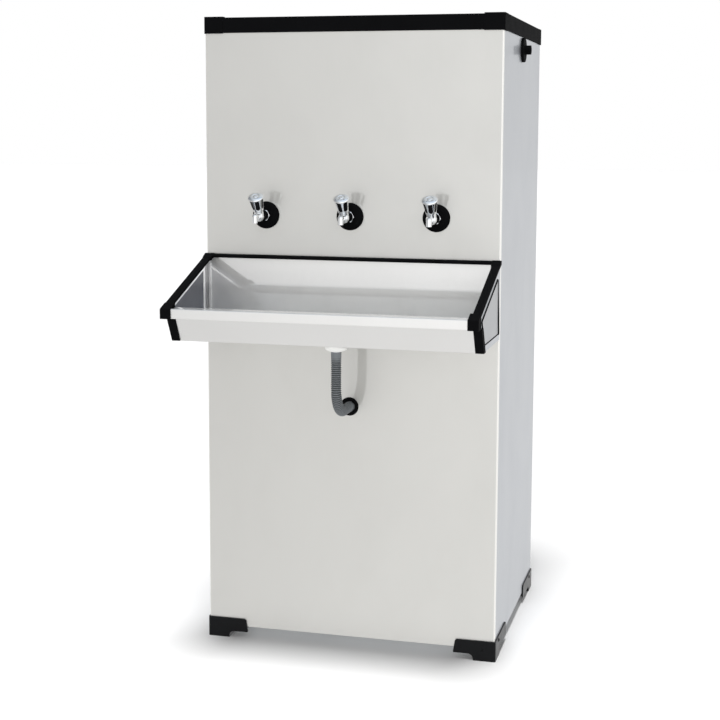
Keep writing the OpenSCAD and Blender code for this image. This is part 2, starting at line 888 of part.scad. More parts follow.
module basin_end_covers() {
    lean = (apron_reach - floor_reach) / (nose_z - nose_h - basin_floor_z);
    low = basin_floor_z + cover_margin;
    low_reach = floor_reach + lean * cover_margin - cover_margin * 1.4;
    top_reach = apron_reach - cover_margin * 0.8;
    color(steel_side) both_sides() across(half_w, half_w + cover_t) polygon(round_loop([
        [cover_back, low], [low_reach, low], [top_reach, rail_line(top_reach) - cover_top_margin],
        [cover_back + 12, rail_line(cover_back + 12) - cover_top_margin]
    ], [3]));
}

module basin_back_rail() {
    x = trim_x - rear_cap_w;
    color(black) across(-x, x) polygon(round_loop([
        [0, upstand_top], [back_rail_d, upstand_top], [back_rail_d, basin_back_z], [0, basin_back_z]
    ], [0.5, 2, 3, 0.5]));
}

// Slot that the edge of an end plate sits in, up to a height over the plate
module plate_slot() {
    top = clear - plate_bite;
    across(half_w - sheet_t - clear / 2, half_w + clear / 2) polygon([
        [-1, basin_floor_z], [nose_reach + clear, basin_floor_z],
        [nose_reach + clear, rail_line(nose_reach) + top], [-1, rail_line(-1) + top]
    ]);
}

module basin_side_rails() {
    from = rear_cap_d;
    to = basin_reach - front_cap_d;
    color(black) both_sides() difference() {
        across(trim_x - end_trim_w, trim_x) polygon([
            [from, rail_line(from)], [to, rail_line(to)], [to, rail_line(to) - rake_tall],
            [from, rail_line(from) - rake_tall]
        ]);
        plate_slot();
        lip_room();
        rail_chamfers(from, to);
    }
}

// Room for the end of the front lip in the trim that covers it
module lip_room() {
    low = nose_z - nose_h - clear / 2;
    high = nose_z + clear / 2;
    across(half_w - 2 * front_cap_w, half_w + clear / 2) polygon([
        [apron_reach - clear, low], [nose_reach + clear / 2, low], [nose_reach + clear / 2, high],
        [apron_reach - clear, high]
    ]);
}

// Bevels along the upper edges of the right-hand end rail
module rail_chamfers(from, to) {
    bevel = 2.4;
    angle = atan(rake);
    for (x = [trim_x, trim_x - end_trim_w])
        translate([x, front_y - from + 1, rail_line(from) + rake]) rotate([angle, 0, 0])
            rotate([90, 0, 0]) rotate([0, 0, 45])
                translate([-bevel / 2, -bevel / 2, -2]) cube([bevel, bevel, (to - from) * 1.2]);
}

module basin_posts() {
    z_low = basin_floor_z;
    z_high = nose_z - nose_h - cap_over - clear;
    lean = (apron_reach - floor_reach) / (nose_z - nose_h - basin_floor_z);
    reach_low = floor_reach;
    reach_high = floor_reach + lean * (z_high - z_low);
    out = basin_proud;
    color(black) both_sides() {
        difference() {
            across(trim_x - end_trim_w, trim_x) polygon([
                [reach_low - end_trim_w, z_low], [reach_low + out, z_low], [reach_high + out, z_high],
                [reach_high - end_trim_w, z_high]
            ]);
            across(trim_x - end_trim_w - 1, half_w) polygon([
                [reach_low - end_trim_w - 50, z_low - 1], [reach_low - lean, z_low - 1],
                [reach_high + lean, z_high + 1], [reach_high - end_trim_w - 50, z_high + 1]
            ]);
        }
    }
}

module basin_front_caps() {
    from = basin_reach - front_cap_d;
    low = nose_z - nose_h - cap_over;
    over = rail_line(0) + cap_over;
    color(black) both_sides() difference() {
        across(trim_x - front_cap_w, trim_x) polygon(round_loop([
            [from, low], [basin_reach, low], [basin_reach, over - rake * basin_reach],
            [from, over - rake * from]
        ], [0.5, 2.5, 3, 0.5]));
        lip_room();
        plate_slot();
    }
}

module basin_rear_caps() {
    over = basin_back_z + cap_over;
    step = 2 * sheet_t;
    color(black) both_sides() difference() {
        across(trim_x - rear_cap_w, trim_x) polygon(round_loop([
            [0, upstand_top], [step, upstand_top], [rear_cap_d, upstand_top - rake * (rear_cap_d - step)],
            [rear_cap_d, over - rake * rear_cap_d], [rear_cap_d * 0.3, over], [0, over]
        ], [0.5, 0.5, 0.5, 0.5, 3, 0.5]));
        plate_slot();
    }
}

module basin_studs() {
    color(galvanised) for (x = stud_x) forwards(x, stud_z) union() {
        translate([0, 0, -stud_len]) cylinder(d = stud_d, h = stud_len);
        translate([0, 0, -sheet_t - stud_nut_t]) hex_bar(stud_d * 1.7, stud_nut_t);
    }
}

module tap_rosettes() {
    r = rosette_d / 2;
    color(black) for (x = tap_x) forwards(x, tap_z) difference() {
        rotate_extrude($fn = 72) polygon([
            [0, 0], [r, 0], [r, rosette_t * 0.35], [r * 0.97, rosette_t * 0.55],
            [r * 0.86, rosette_t * 0.85], [r * 0.72, rosette_t * 0.97], [r * 0.6, rosette_t], [0, rosette_t]
        ]);
        translate([0, 0, -1]) cylinder(d = shank_d + 2 * clear, h = rosette_t + 2);
    }
}

// Axis of a tap's handle, with z = 0 where it crosses the tap's own axis
module handle_axis(i) {
    translate([tap_x[i], front_y - handle_reach, tap_z]) rotate([handle_lean, 0, 0]) children();
}

module tap_body(i) {
    barrel_end = handle_reach + barrel_d / 2;
    collar_end = rosette_t + collar_t;
    r = barrel_d / 2;
    color(chrome) difference() {
        union() {
            forwards(tap_x[i], tap_z) {
                translate([0, 0, -shank_in]) cylinder(d = shank_d, h = shank_in + rosette_t + 1);
                translate([0, 0, rosette_t]) hex_bar(collar_af, collar_t);
                rotate_extrude() polygon([
                    [0, collar_end - 1], [r * 0.9, collar_end - 1], [r * 0.9, collar_end + 2],
                    [r, collar_end + 4], [r, barrel_end - 5], [r * 0.86, barrel_end], [0, barrel_end]
                ]);
                cylinder(d = spout_d, h = spout_reach);
                translate([0, 0, spout_reach]) sphere(d = spout_d);
                translate([0, 0, spout_reach]) rotate([90, 0, 0]) cylinder(d = spout_d, h = spout_drop);
            }
            handle_axis(i) cylinder(d = boss_d, h = boss_top);
        }
        forwards(tap_x[i], tap_z) {
            translate([0, 0, -shank_in - 1]) cylinder(d = water_bore, h = shank_in + spout_reach + 1);
            translate([0, 0, spout_reach]) rotate([90, 0, 0]) cylinder(d = water_bore, h = spout_drop + 1);
            translate([0, 0, spout_reach]) sphere(d = water_bore);
        }
        handle_axis(i) cylinder(d = spindle_d + 2 * run_clear, h = boss_top + 1);
    }
}

module tap_spindle(i) {
    color(brass) handle_axis(i) union() {
        translate([0, 0, 2]) cylinder(d = spindle_d, h = square_foot - 2);
        translate([0, 0, square_foot - 0.5 + square_len / 2])
            cube([spindle_square, spindle_square, square_len + 1], center = true);
    }
}

// Flared handle with concave flutes and a domed top with a small button
module tap_handle(i) {
    foot_r = handle_foot_d / 2;
    top_r = handle_top_d / 2;
    neck_r = top_r - 1.6;
    neck_z = handle_len * 0.82;
    cuff_h = 4;
    flare = atan((neck_r - foot_r) / (neck_z - cuff_h));
    hole = spindle_square + 2 * run_clear;
    socket = square_foot - handle_seat;
    flute_foot = handle_len * 0.3;
    flute_len = handle_len * 0.33;
    top = handle_len;
    color(chrome) handle_axis(i) translate([0, 0, handle_seat]) rotate([0, 0, handle_turn[i]]) difference() {
        rotate_extrude($fn = 72) polygon([
            [0, 0], [foot_r - 1, 0], [foot_r, 1], [foot_r, cuff_h], [neck_r, neck_z], [top_r, top * 0.86],
            [top_r, top * 0.89], [top_r - 1.2, top * 0.93], [top_r * 0.7, top * 0.972],
            [top_r * 0.46, top * 0.985], [top_r * 0.43, top * 0.965], [top_r * 0.3, top * 0.965],
            [top_r * 0.27, top * 0.99], [0, top]
        ]);
        for (k = [0 : flute_count - 1]) rotate([0, 0, 360 * (k + 0.5) / flute_count])
            translate([0, -foot_r - flute_r + flute_depth, flute_foot]) rotate([flare, 0, 0]) {
                cylinder(r = flute_r, h = flute_len, $fn = 32);
                sphere(r = flute_r, $fn = 32);
                translate([0, 0, flute_len]) sphere(r = flute_r, $fn = 32);
            }
        translate([0, 0, -1]) cylinder(d = spindle_d + 2 * run_clear, h = socket + 1);
        rotate([0, 0, -handle_turn[i]]) translate([-hole / 2, -hole / 2, -1])
            cube([hole, hole, socket + square_len + 1.5]);
    }
}

module tap_back_nuts() {
    color(brass) for (x = tap_x) forwards(x, tap_z) translate([0, 0, -tank_inner - back_nut_t])
        difference() {
            hex_bar(back_nut_af, back_nut_t);
            translate([0, 0, -1]) cylinder(d = shank_d + clear, h = back_nut_t + 2);
        }
}

// Axis of the basin's drain, with z = 0 at the floor's upper face
module drain_axis() {
    translate([0, front_y - drain_reach, basin_floor_z + sheet_t]) children();
}

module drain_strainer() {
    step = 360 / strainer_holes;
    color(chrome) drain_axis() difference() {
        union() {
            rotate_extrude() polygon([
                [0, -sheet_t], [drain_neck_d / 2, -sheet_t], [drain_neck_d / 2, 0], [strainer_d / 2, 0],
                [strainer_d / 2, strainer_t * 0.5], [strainer_d / 2 - 2, strainer_t], [0, strainer_t]
            ]);
            translate([0, 0, -drain_tail]) cylinder(d = hose_d, h = drain_tail);
        }
        translate([0, 0, -drain_tail - 1]) cylinder(d = hose_bore, h = drain_tail);
        for (k = [1 : strainer_holes]) rotate([0, 0, step * k]) translate([strainer_ring_r, 0, -2])
            cylinder(d = strainer_hole_d, h = 4 + strainer_t);
    }
}

module drain_nut() {
    h = drain_tail - 1;
    color(white) drain_axis() difference() {
        rotate_extrude() polygon([
            [0, -sheet_t], [drain_nut_d / 2, -sheet_t], [drain_nut_d / 2, drain_nut_taper - h],
            [drain_nut_d * 0.47, drain_nut_taper * 0.6 - h], [drain_nut_d * 0.39, drain_nut_taper * 0.2 - h],
            [drain_nut_d * 0.29, -h], [0, -h]
        ]);
        translate([0, 0, -h - 1]) cylinder(d = hose_d + 2 * clear, h = h + 2);
    }
}

// Points of the hose's centre line, evenly spaced
function hose_line(count) =
    let (p = round_path([for (q = hose_route) [0, front_y - q.x, q.y]], hose_bend_r, 40))
    [for (k = [0 : count]) along(p, route_len(p) * k / count)];
function route_len(p, i = 1) = i < len(p) ? norm(p[i] - p[i - 1]) + route_len(p, i + 1) : 0;
function along(p, s, i = 1) =
    let (step = norm(p[i] - p[i - 1]))
    s <= step || i == len(p) - 1 ? p[i - 1] + (p[i] - p[i - 1]) * min(s / step, 1)
                                 : along(p, s - step, i + 1);

// Least gap of a tube to itself, between points that lie apart along it
function least_gap(p, d, apart) = min([
    for (i = [0 : len(p) - 1], k = [i + apart : 1 : len(p) - 1]) norm(p[i] - p[k]) - d
]);

module drain_hose() {
    line = hose_line(2 * rib_count);
    plain = ceil(hose_d / (route_len(line) / (2 * rib_count)) / 2);
    radii = [for (i = [0 : len(line) - 1]) hose_d / 2 - (i % 2 == 0 ? rib_depth : 0)];
    echo(hose_length = route_len(line), hose_least_gap = least_gap(line, hose_d, 12 * plain));
    color(grey_hose) hollow_tube(line, radii, hose_line(ceil(rib_count / 2)), hose_bore / 2, 8);
}

module hose_grommet() {
    depth = sheet_t + 2 * grommet_t;
    r = grommet_d / 2;
    neck_r = grommet_bore / 2 + grommet_t - clear;
    color(black) forwards(0, grommet_z) difference() {
        rotate_extrude() polygon([
            [0, grommet_t], [r - 1, grommet_t], [r, grommet_t * 0.5], [r, 0], [neck_r, 0], [neck_r, -sheet_t],
            [r, -sheet_t], [r, -sheet_t - grommet_t], [0, -sheet_t - grommet_t]
        ]);
        translate([0, 0, -depth]) cylinder(d = grommet_bore, h = 2 * depth);
    }
}

module drain_pipe() {
    start = hose_route[2];
    knee = start - [pipe_run, 0];
    end = [-body_d + pipe_inside, stub_z];
    route = [for (q = [start, knee, end + [2 * pipe_d, 0], end]) [0, front_y - q.x, q.y]];
    color(white) difference() {
        union() {
            line_tube(round_path(route, 1.6 * pipe_d, 6), hose_d, 12);
            backwards(0, stub_z) {
                translate([0, 0, -pipe_inside]) cylinder(d = pipe_d, h = pipe_inside + 1);
                cylinder(d = pipe_d * 1.4, h = stub_collar);
                cylinder(d = stub_d, h = stub_reach);
            }
        }
        backwards(0, stub_z) translate([0, 0, 2 * pipe_wall - pipe_inside])
            cylinder(d = pipe_d - 2 * pipe_wall, h = pipe_inside + stub_reach);
    }
}

module inlet_valve() {
    head_x = -(lining_gap + insulation_t + tank_wall + inlet_nut_t);
    pivot_x = head_x - valve_len;
    color(black) sideways(inlet_y, inlet_z) difference() {
        union() {
            rotate_extrude() polygon([
                [0, 0], [flange_d / 2, 0], [flange_d / 2, flange_t - 1], [flange_d / 2 - 1, flange_t],
                [0, flange_t]
            ]);
            cylinder(d = nipple_d, h = nipple_reach);
            translate([0, 0, head_x - 1]) cylinder(d = inlet_shank_d, h = -head_x + 1.5);
            translate([0, 0, pivot_x + fork_h]) cylinder(d = valve_head_d, h = head_x - pivot_x - fork_h);
            for (side = [-1, 1]) translate([0, side * (fork_gap / 2 + fork_t / 2), pivot_x + fork_h / 2])
                cube([fork_h, fork_t, 2 * fork_h], center = true);
            translate([0, fork_gap / 2 + fork_t, pivot_x]) rotate([90, 0, 0])
                cylinder(d = float_pin_d, h = fork_gap + 2 * fork_t);
        }
        translate([0, 0, head_x]) cylinder(d = inlet_bore, h = nipple_reach - head_x + 1);
    }
}

module inlet_nut() {
    wall = lining_gap + insulation_t + tank_wall;
    color(white) sideways(inlet_y, inlet_z) translate([0, 0, -wall - inlet_nut_t]) difference() {
        hex_bar(inlet_nut_af, inlet_nut_t);
        translate([0, 0, -1]) cylinder(d = inlet_shank_d + clear, h = inlet_nut_t + 2);
    }
}

module float_arm() {
    head_x = -(lining_gap + insulation_t + tank_wall + inlet_nut_t);
    hub_d = 2.6 * float_pin_d;
    hub_w = fork_gap - 2 * clear;
    pin_bore = float_pin_d + 2 * run_clear;
    color(white) sideways(inlet_y, inlet_z) translate([0, 0, head_x - valve_len])
        rotate([0, -float_hang, 0]) difference() {
            union() {
                translate([0, hub_w / 2, 0]) rotate([90, 0, 0]) cylinder(d = hub_d, h = hub_w);
                translate([0, 0, -float_len]) cylinder(d = float_rod_d, h = float_len - float_pin_d);
                translate([0, 0, -float_len]) sphere(d = float_d, $fn = 64);
            }
            translate([0, hub_w, 0]) rotate([90, 0, 0]) cylinder(d = pin_bore, h = 2 * hub_w);
        }
}

// Plan of the tank, drawn in by a margin
module tank_plan(margin = 0) {
    x = tank_half_w - margin;
    y = tank_half_d - margin;
    r = tank_corner_r - margin;
    translate([0, mid_y]) polygon(round_loop([[-x, -y], [x, -y], [x, y], [-x, y]], [r], 6));
}

// Holes that the taps and the inlet make on their way into the tank
module wall_holes(margin) {
    for (x = tap_x) forwards(x, tap_z) translate([0, 0, -tank_inner - 20])
        cylinder(d = shank_d + 2 * margin, h = tank_inner + 20);
    sideways(inlet_y, inlet_z) translate([0, 0, -tank_inner - 20])
        cylinder(d = inlet_shank_d + 2 * margin, h = tank_inner + 20);
}

module water_tank() {
    color(steel) difference() {
        translate([0, 0, tank_floor_z]) linear_extrude(tank_rim_z - tank_floor_z) tank_plan();
        translate([0, 0, tank_floor_z + tank_wall]) linear_extrude(tank_rim_z) tank_plan(tank_wall);
        wall_holes(clear);
        coil_tail_holes();
    }
}

module tank_insulation() {
    y = body_d / 2 - lining_gap;
    color(foam) difference() {
        translate([-lining_half_w, mid_y - y, shelf_z])
            cube([2 * lining_half_w, 2 * y, tank_rim_z - shelf_z]);
        translate([0, 0, tank_floor_z]) linear_extrude(tank_rim_z) tank_plan();
        wall_holes(1);
        coil_tail_holes();
    }
}

module tank_cover() {
    color(white) union() {
        translate([0, 0, tank_rim_z]) linear_extrude(tank_wall) tank_plan(-cover_lip);
        translate([0, 0, tank_rim_z - cover_skirt]) linear_extrude(cover_skirt + 1) difference() {
            tank_plan(tank_wall + clear);
            tank_plan(2 * tank_wall + clear);
        }
    }
}

// Centre line of the coil and of its two tails, which go down through the tank's floor
function coil_point(turn) = [
    coil_r * cos(360 * turn), mid_y + coil_r * sin(360 * turn), coil_z + coil_pitch * turn
];
function coil_line() =
    let (foot = [coil_first.x, coil_first.y, tail_end_z])
    let (far_foot = [coil_last.x, coil_last.y, tail_end_z], bend = 2 * coil_tube_d)
    concat(
        [foot], corner_arc(foot, coil_first, coil_point(0), bend, 4),
        [for (k = [0 : 24 * coil_turns]) coil_point(k / 24)],
        corner_arc(coil_point(coil_turns), coil_last, far_foot, bend, 4), [far_foot]
    );

module coil_tail_holes() {
    for (p = [coil_first, coil_last]) translate([p.x, p.y, tail_end_z])
        cylinder(d = coil_tube_d + 2 * clear, h = tank_floor_z + tank_wall - tail_end_z + 1);
}

module evaporator_coil() {
    line = coil_line();
    echo(coil_length = route_len(line), coil_least_gap = least_gap(line, coil_tube_d, 12));
    color(copper) union() {
        line_tube(line, coil_tube_d, 6);
        for (p = [coil_first, coil_last]) translate([p.x, p.y, tank_floor_z + tank_wall])
            cylinder(d = collar_d, h = collar_h);
    }
}

// Frame of the compressor, with z = 0 at the underside of its foot plate
module compressor_frame() {
    translate([compressor_x, compressor_y, compressor_z]) children();
}

// Places of the four compressor mounts
module at_mounts() {
    for (x = [-1, 1], y = [-1, 1])
        translate([x * mount_pitch.x / 2, y * mount_pitch.y / 2, 0]) children();
}

module compressor() {
    r = compressor_d / 2;
    can_r = r * 0.97;
    h = compressor_h;
    foot_x = foot_plate.x / 2;
    foot_y = foot_plate.y / 2;
    color(black) compressor_frame() difference() {
        union() {
            linear_extrude(foot_plate.z) polygon(round_loop(
                [[-foot_x, -foot_y], [foot_x, -foot_y], [foot_x, foot_y], [-foot_x, foot_y]],
                [foot_plate_r]));
            rotate_extrude($fn = 64) polygon(concat(
                [[0, 1], [r * 0.6, 1], [r * 0.9, h * 0.12], [can_r, h * 0.2], [can_r, h * 0.5], [r, h * 0.52],
                 [r, h * 0.58], [can_r, h * 0.6], [can_r, h * 0.72]],
                [for (a = [15 : 15 : 75]) [can_r * cos(a), h * (0.72 + 0.28 * sin(a))]],
                [[0, h]]
            ));
            for (side = [-1, 1]) translate([side * pipe_stub.x, -side * pipe_stub.y, h * 0.5])
                cylinder(d = line_d + 3, h = h * 0.5 + stub_len);
            translate([-r - relay_box.x * 0.6, -relay_box.y / 2, h * 0.28]) cube(relay_box);
        }
        at_mounts() translate([0, 0, -1]) cylinder(d = mount_bolt_d + 1, h = foot_plate.z + 2);
    }
}

module compressor_mounts() {
    color(black) compressor_frame() at_mounts() union() {
        translate([0, 0, -mount_h]) cylinder(d = mount_d, h = mount_h);
        translate([0, 0, -mount_h]) cylinder(d = mount_bolt_d, h = mount_h + foot_plate.z + mount_bolt_d);
        translate([0, 0, foot_plate.z]) cylinder(d = mount_washer_d, h = mount_bolt_d * 0.6);
    }
}

// Place of tube k of the condenser's serpentine
function tube_z(k) = condenser_z + tube_margin + k * tube_step;

module condenser() {
    x_from = condenser_x - condenser_w / 2;
    fin_step = (condenser_w - fin_t) / (fin_count - 1);
    tube_len = condenser_w + 2 * tube_end;
    socket = 4;
    color(aluminium) union() {
        for (k = [0 : fin_count - 1]) {
            edge = k == 0 || k == fin_count - 1;
            translate([x_from + k * fin_step, condenser_back - condenser_d, edge ? pan_top : condenser_z])
                cube([fin_t, condenser_d, condenser_h + (edge ? condenser_z - pan_top : 0)]);
        }
        for (k = [0 : tube_count - 1]) translate([x_from - tube_end, condenser_mid, tube_z(k)])
            rotate([0, 90, 0]) cylinder(d = tube_d, h = tube_len);
        for (k = [0 : tube_count - 2]) let (right = k % 2 == 0, end = right ? 1 : -1)
            translate([condenser_x + end * (tube_len / 2 - socket), condenser_mid, tube_z(k + 0.5)])
                rotate([90, 0, 0]) rotate([0, 0, right ? -90 : 90])
                    rotate_extrude(angle = 180) translate([tube_step / 2, 0]) circle(d = tube_d + 2);
    }
}

module fan_motor() {
    plate_y = fan_y - hub_h - motor_gap;
    plate_x = condenser_x - motor_plate_w / 2;
    rim = motor_len / 10;
    color(black) difference() {
        union() {
            translate([plate_x, plate_y - motor_plate_t, pan_top])
                cube([motor_plate_w, motor_plate_t, fan_z + motor_d * 0.6 - pan_top]);
            translate([plate_x, plate_y - motor_plate_t - motor_len, pan_top])
                cube([motor_plate_w, motor_len + motor_plate_t, motor_plate_t]);
            motor_axis(plate_y - motor_plate_t - motor_len) rotate_extrude() polygon([
                [0, 0], [motor_d * 0.42, 0], [motor_d / 2, rim], [motor_d / 2, motor_len - rim],
                [motor_d * 0.42, motor_len + motor_plate_t / 2], [0, motor_len + motor_plate_t / 2]
            ]);
            motor_axis(plate_y - 1) cylinder(d = 3 * fan_shaft_d, h = motor_gap / 2);
        }
        motor_axis(plate_y - shaft_bite - 4) cylinder(d = fan_shaft_d + 2 * run_clear, h = 2 * shaft_bite);
    }
}

// Axis of the fan and its motor, from a place along the depth
module motor_axis(y) {
    translate([condenser_x, y, fan_z]) rotate([-90, 0, 0]) children();
}

module fan_blades() {
    r = fan_d / 2;
    shaft_len = hub_h + motor_gap + shaft_bite;
    root = hub_d * 0.4;
    color(black) translate([condenser_x, fan_y, fan_z]) rotate([90, 0, 0]) union() {
        cylinder(d = hub_d, h = hub_h);
        cylinder(d = fan_shaft_d, h = shaft_len);
        for (k = [0 : blade_count - 1]) rotate([0, 0, 360 * k / blade_count])
            translate([0, 0, hub_h / 2]) rotate([fan_pitch, 0, 0]) translate([0, 0, -blade_t / 2])
                linear_extrude(blade_t) polygon(round_loop(
                    [[root, -blade_root / 2], [r * 0.92, -blade_tip / 2], [r * 0.97, blade_tip / 2],
                     [root, blade_root / 2]], [3, 12, 18, 3]));
    }
}

module filter_drier() {
    r = drier_d / 2;
    neck_r = line_d / 2;
    cone = 1.5 * line_d;
    color(copper) translate([drier_x, drier_y, drier_z]) rotate_extrude() polygon([
        [0, 0], [neck_r, 0], [neck_r, line_d], [r, line_d + cone], [r, drier_len - line_d - cone],
        [neck_r, drier_len - line_d], [neck_r, drier_len], [0, drier_len]
    ]);
}

module refrigerant_lines() {
    bend = 3 * line_d;
    small_bend = 1.5 * line_d;
    stub_top = compressor_z + compressor_h + stub_len;
    suction = [compressor_x + pipe_stub.x, compressor_y - pipe_stub.y, stub_top];
    hot = [compressor_x - pipe_stub.x, compressor_y + pipe_stub.y, stub_top];
    high = stub_top + hot_rise;
    top_tube = [condenser_left, condenser_mid, tube_z(tube_count - 1)];
    low_tube = [condenser_left, condenser_mid, tube_z(0)];
    side_x = condenser_left - bend;
    drier_top = drier_z + drier_len;
    cold_z = shelf_z - cold_drop;
    warm_z = cold_z - 2 * bend;
    color(copper) {
        line_tube(round_path([
            suction, [suction.x, suction.y, cold_z], [coil_last.x, coil_last.y, cold_z + bend],
            [coil_last.x, coil_last.y, tail_end_z]
        ], small_bend), line_d);
        line_tube(round_path([
            hot, [hot.x, hot.y, high], [hot.x, condenser_mid, high], [side_x, condenser_mid, high],
            [side_x, condenser_mid, top_tube.z], top_tube
        ], small_bend), line_d);
        line_tube(round_path([
            low_tube, [drier_x, condenser_mid, low_tube.z], [drier_x, drier_y, low_tube.z],
            [drier_x, drier_y, drier_z]
        ], bend), line_d, start = [0, 1, 0]);
        line_tube(round_path([
            [drier_x, drier_y, drier_top], [drier_x, drier_y, warm_z], [coil_first.x, drier_y, warm_z],
            [coil_first.x, coil_first.y, warm_z], [coil_first.x, coil_first.y, tail_end_z]
        ], bend), line_d);
    }
}

front_panel();
left_side_panel();
right_side_panel();
rear_panel();
rear_grille();
base_pan();
tank_shelf();
front_left_foot();
front_right_foot();
rear_left_foot();
rear_right_foot();
foot_screws();
panel_screws();
cable_gland();
lid_panel();
lid_front_rail();
lid_rear_rail();
lid_side_rails();
lid_corner_caps();
basin_tray();
basin_left_end();
basin_right_end();
basin_end_covers();
basin_back_rail();
basin_side_rails();
basin_posts();
basin_front_caps();
basin_rear_caps();
basin_studs();
tap_rosettes();
tap_body(0);  // left_tap_body
tap_body(1);  // middle_tap_body
tap_body(2);  // right_tap_body
tap_spindle(0);  // left_tap_spindle
tap_spindle(1);  // middle_tap_spindle
tap_spindle(2);  // right_tap_spindle
tap_handle(0);  // left_tap_handle
tap_handle(1);  // middle_tap_handle
tap_handle(2);  // right_tap_handle
tap_back_nuts();
drain_strainer();
drain_nut();
drain_hose();
hose_grommet();
drain_pipe();
inlet_valve();
inlet_nut();
float_arm();
water_tank();
tank_insulation();
tank_cover();
evaporator_coil();
compressor();
compressor_mounts();
condenser();
fan_motor();
fan_blades();
filter_drier();
refrigerant_lines();
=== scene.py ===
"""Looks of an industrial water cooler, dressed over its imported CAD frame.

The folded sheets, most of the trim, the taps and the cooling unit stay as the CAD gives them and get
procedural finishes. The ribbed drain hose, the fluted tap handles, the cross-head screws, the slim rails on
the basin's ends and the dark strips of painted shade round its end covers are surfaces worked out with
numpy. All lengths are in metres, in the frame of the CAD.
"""

import json
import logging
import math
from dataclasses import dataclass, field
from enum import Enum

import bmesh
import bpy
import numpy as np
from mathutils import Matrix, Vector

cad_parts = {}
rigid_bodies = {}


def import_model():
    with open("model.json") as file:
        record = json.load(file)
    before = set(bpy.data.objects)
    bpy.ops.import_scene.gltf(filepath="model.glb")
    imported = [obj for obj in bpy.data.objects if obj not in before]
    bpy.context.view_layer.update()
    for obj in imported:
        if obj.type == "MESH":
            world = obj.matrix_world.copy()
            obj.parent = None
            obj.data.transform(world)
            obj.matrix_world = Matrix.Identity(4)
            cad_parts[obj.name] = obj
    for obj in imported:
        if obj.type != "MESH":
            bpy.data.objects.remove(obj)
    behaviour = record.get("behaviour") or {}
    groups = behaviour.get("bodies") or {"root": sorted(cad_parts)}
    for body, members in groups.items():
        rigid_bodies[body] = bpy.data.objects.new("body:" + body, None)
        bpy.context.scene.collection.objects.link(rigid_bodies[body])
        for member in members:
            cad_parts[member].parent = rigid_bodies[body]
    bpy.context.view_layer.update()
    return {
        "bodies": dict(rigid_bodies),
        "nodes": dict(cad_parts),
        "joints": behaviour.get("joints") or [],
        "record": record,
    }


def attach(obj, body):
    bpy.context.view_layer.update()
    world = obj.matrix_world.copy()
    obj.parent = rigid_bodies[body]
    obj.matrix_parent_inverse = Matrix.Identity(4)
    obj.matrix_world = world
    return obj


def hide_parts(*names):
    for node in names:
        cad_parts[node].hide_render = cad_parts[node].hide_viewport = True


LOG = logging.getLogger("water_cooler")
FRONT_Y = -0.160
REAR_Y = 0.409
HALF_W = 0.337
BASIN_BACK_Z = 0.900
BASIN_RAKE = 95.0 / 274.0

Array = np.ndarray
Pair = tuple[float, float]
Place = tuple[float, float, float]
Rgb = tuple[float, float, float]
Material = bpy.types.Material
Node = bpy.types.Node
Piece = bpy.types.Object
Socket = bpy.types.NodeSocket
Tree = bpy.types.NodeTree
Value = float | Rgb | Socket
Inputs = dict[str | int, Value]

NOISE_RANGE: Pair = (0.2, 0.8)
WHITE: Rgb = (1.0, 1.0, 1.0)


class Body(Enum):
    """Bodies of the CAD that new pieces ride on."""

    CABINET = "cabinet"
    LEFT_HANDLE = "left_handle"
    MIDDLE_HANDLE = "middle_handle"
    RIGHT_HANDLE = "right_handle"


class Slot(Enum):
    """Material slots of the record."""

    FRONT_STEEL = "front_steel"
    SIDE_STEEL = "side_steel"
    GALVANISED = "galvanised_sheet"
    BLACK_TRIM = "black_trim"
    BLACK_METAL = "black_metal"
    CHROME = "chrome_tap"
    BRASS = "brass_fitting"
    RUBBER = "black_rubber"
    HOSE = "grey_hose"
    WHITE = "white_plastic"
    TANK = "tank_steel"
    FOAM = "insulation_foam"
    COPPER = "copper_tube"
    FINS = "condenser_fins"
    FAN = "fan_plastic"


class Kind(Enum):
    """Kinds of sockets on a node group."""

    NUMBER = "NodeSocketFloat"
    VECTOR = "NodeSocketVector"


def scaled(colour: Rgb, factor: float) -> Rgb:
    """A colour made lighter or darker by a factor, with no part above 1."""
    return tuple(min(1.0, part * factor) for part in colour)


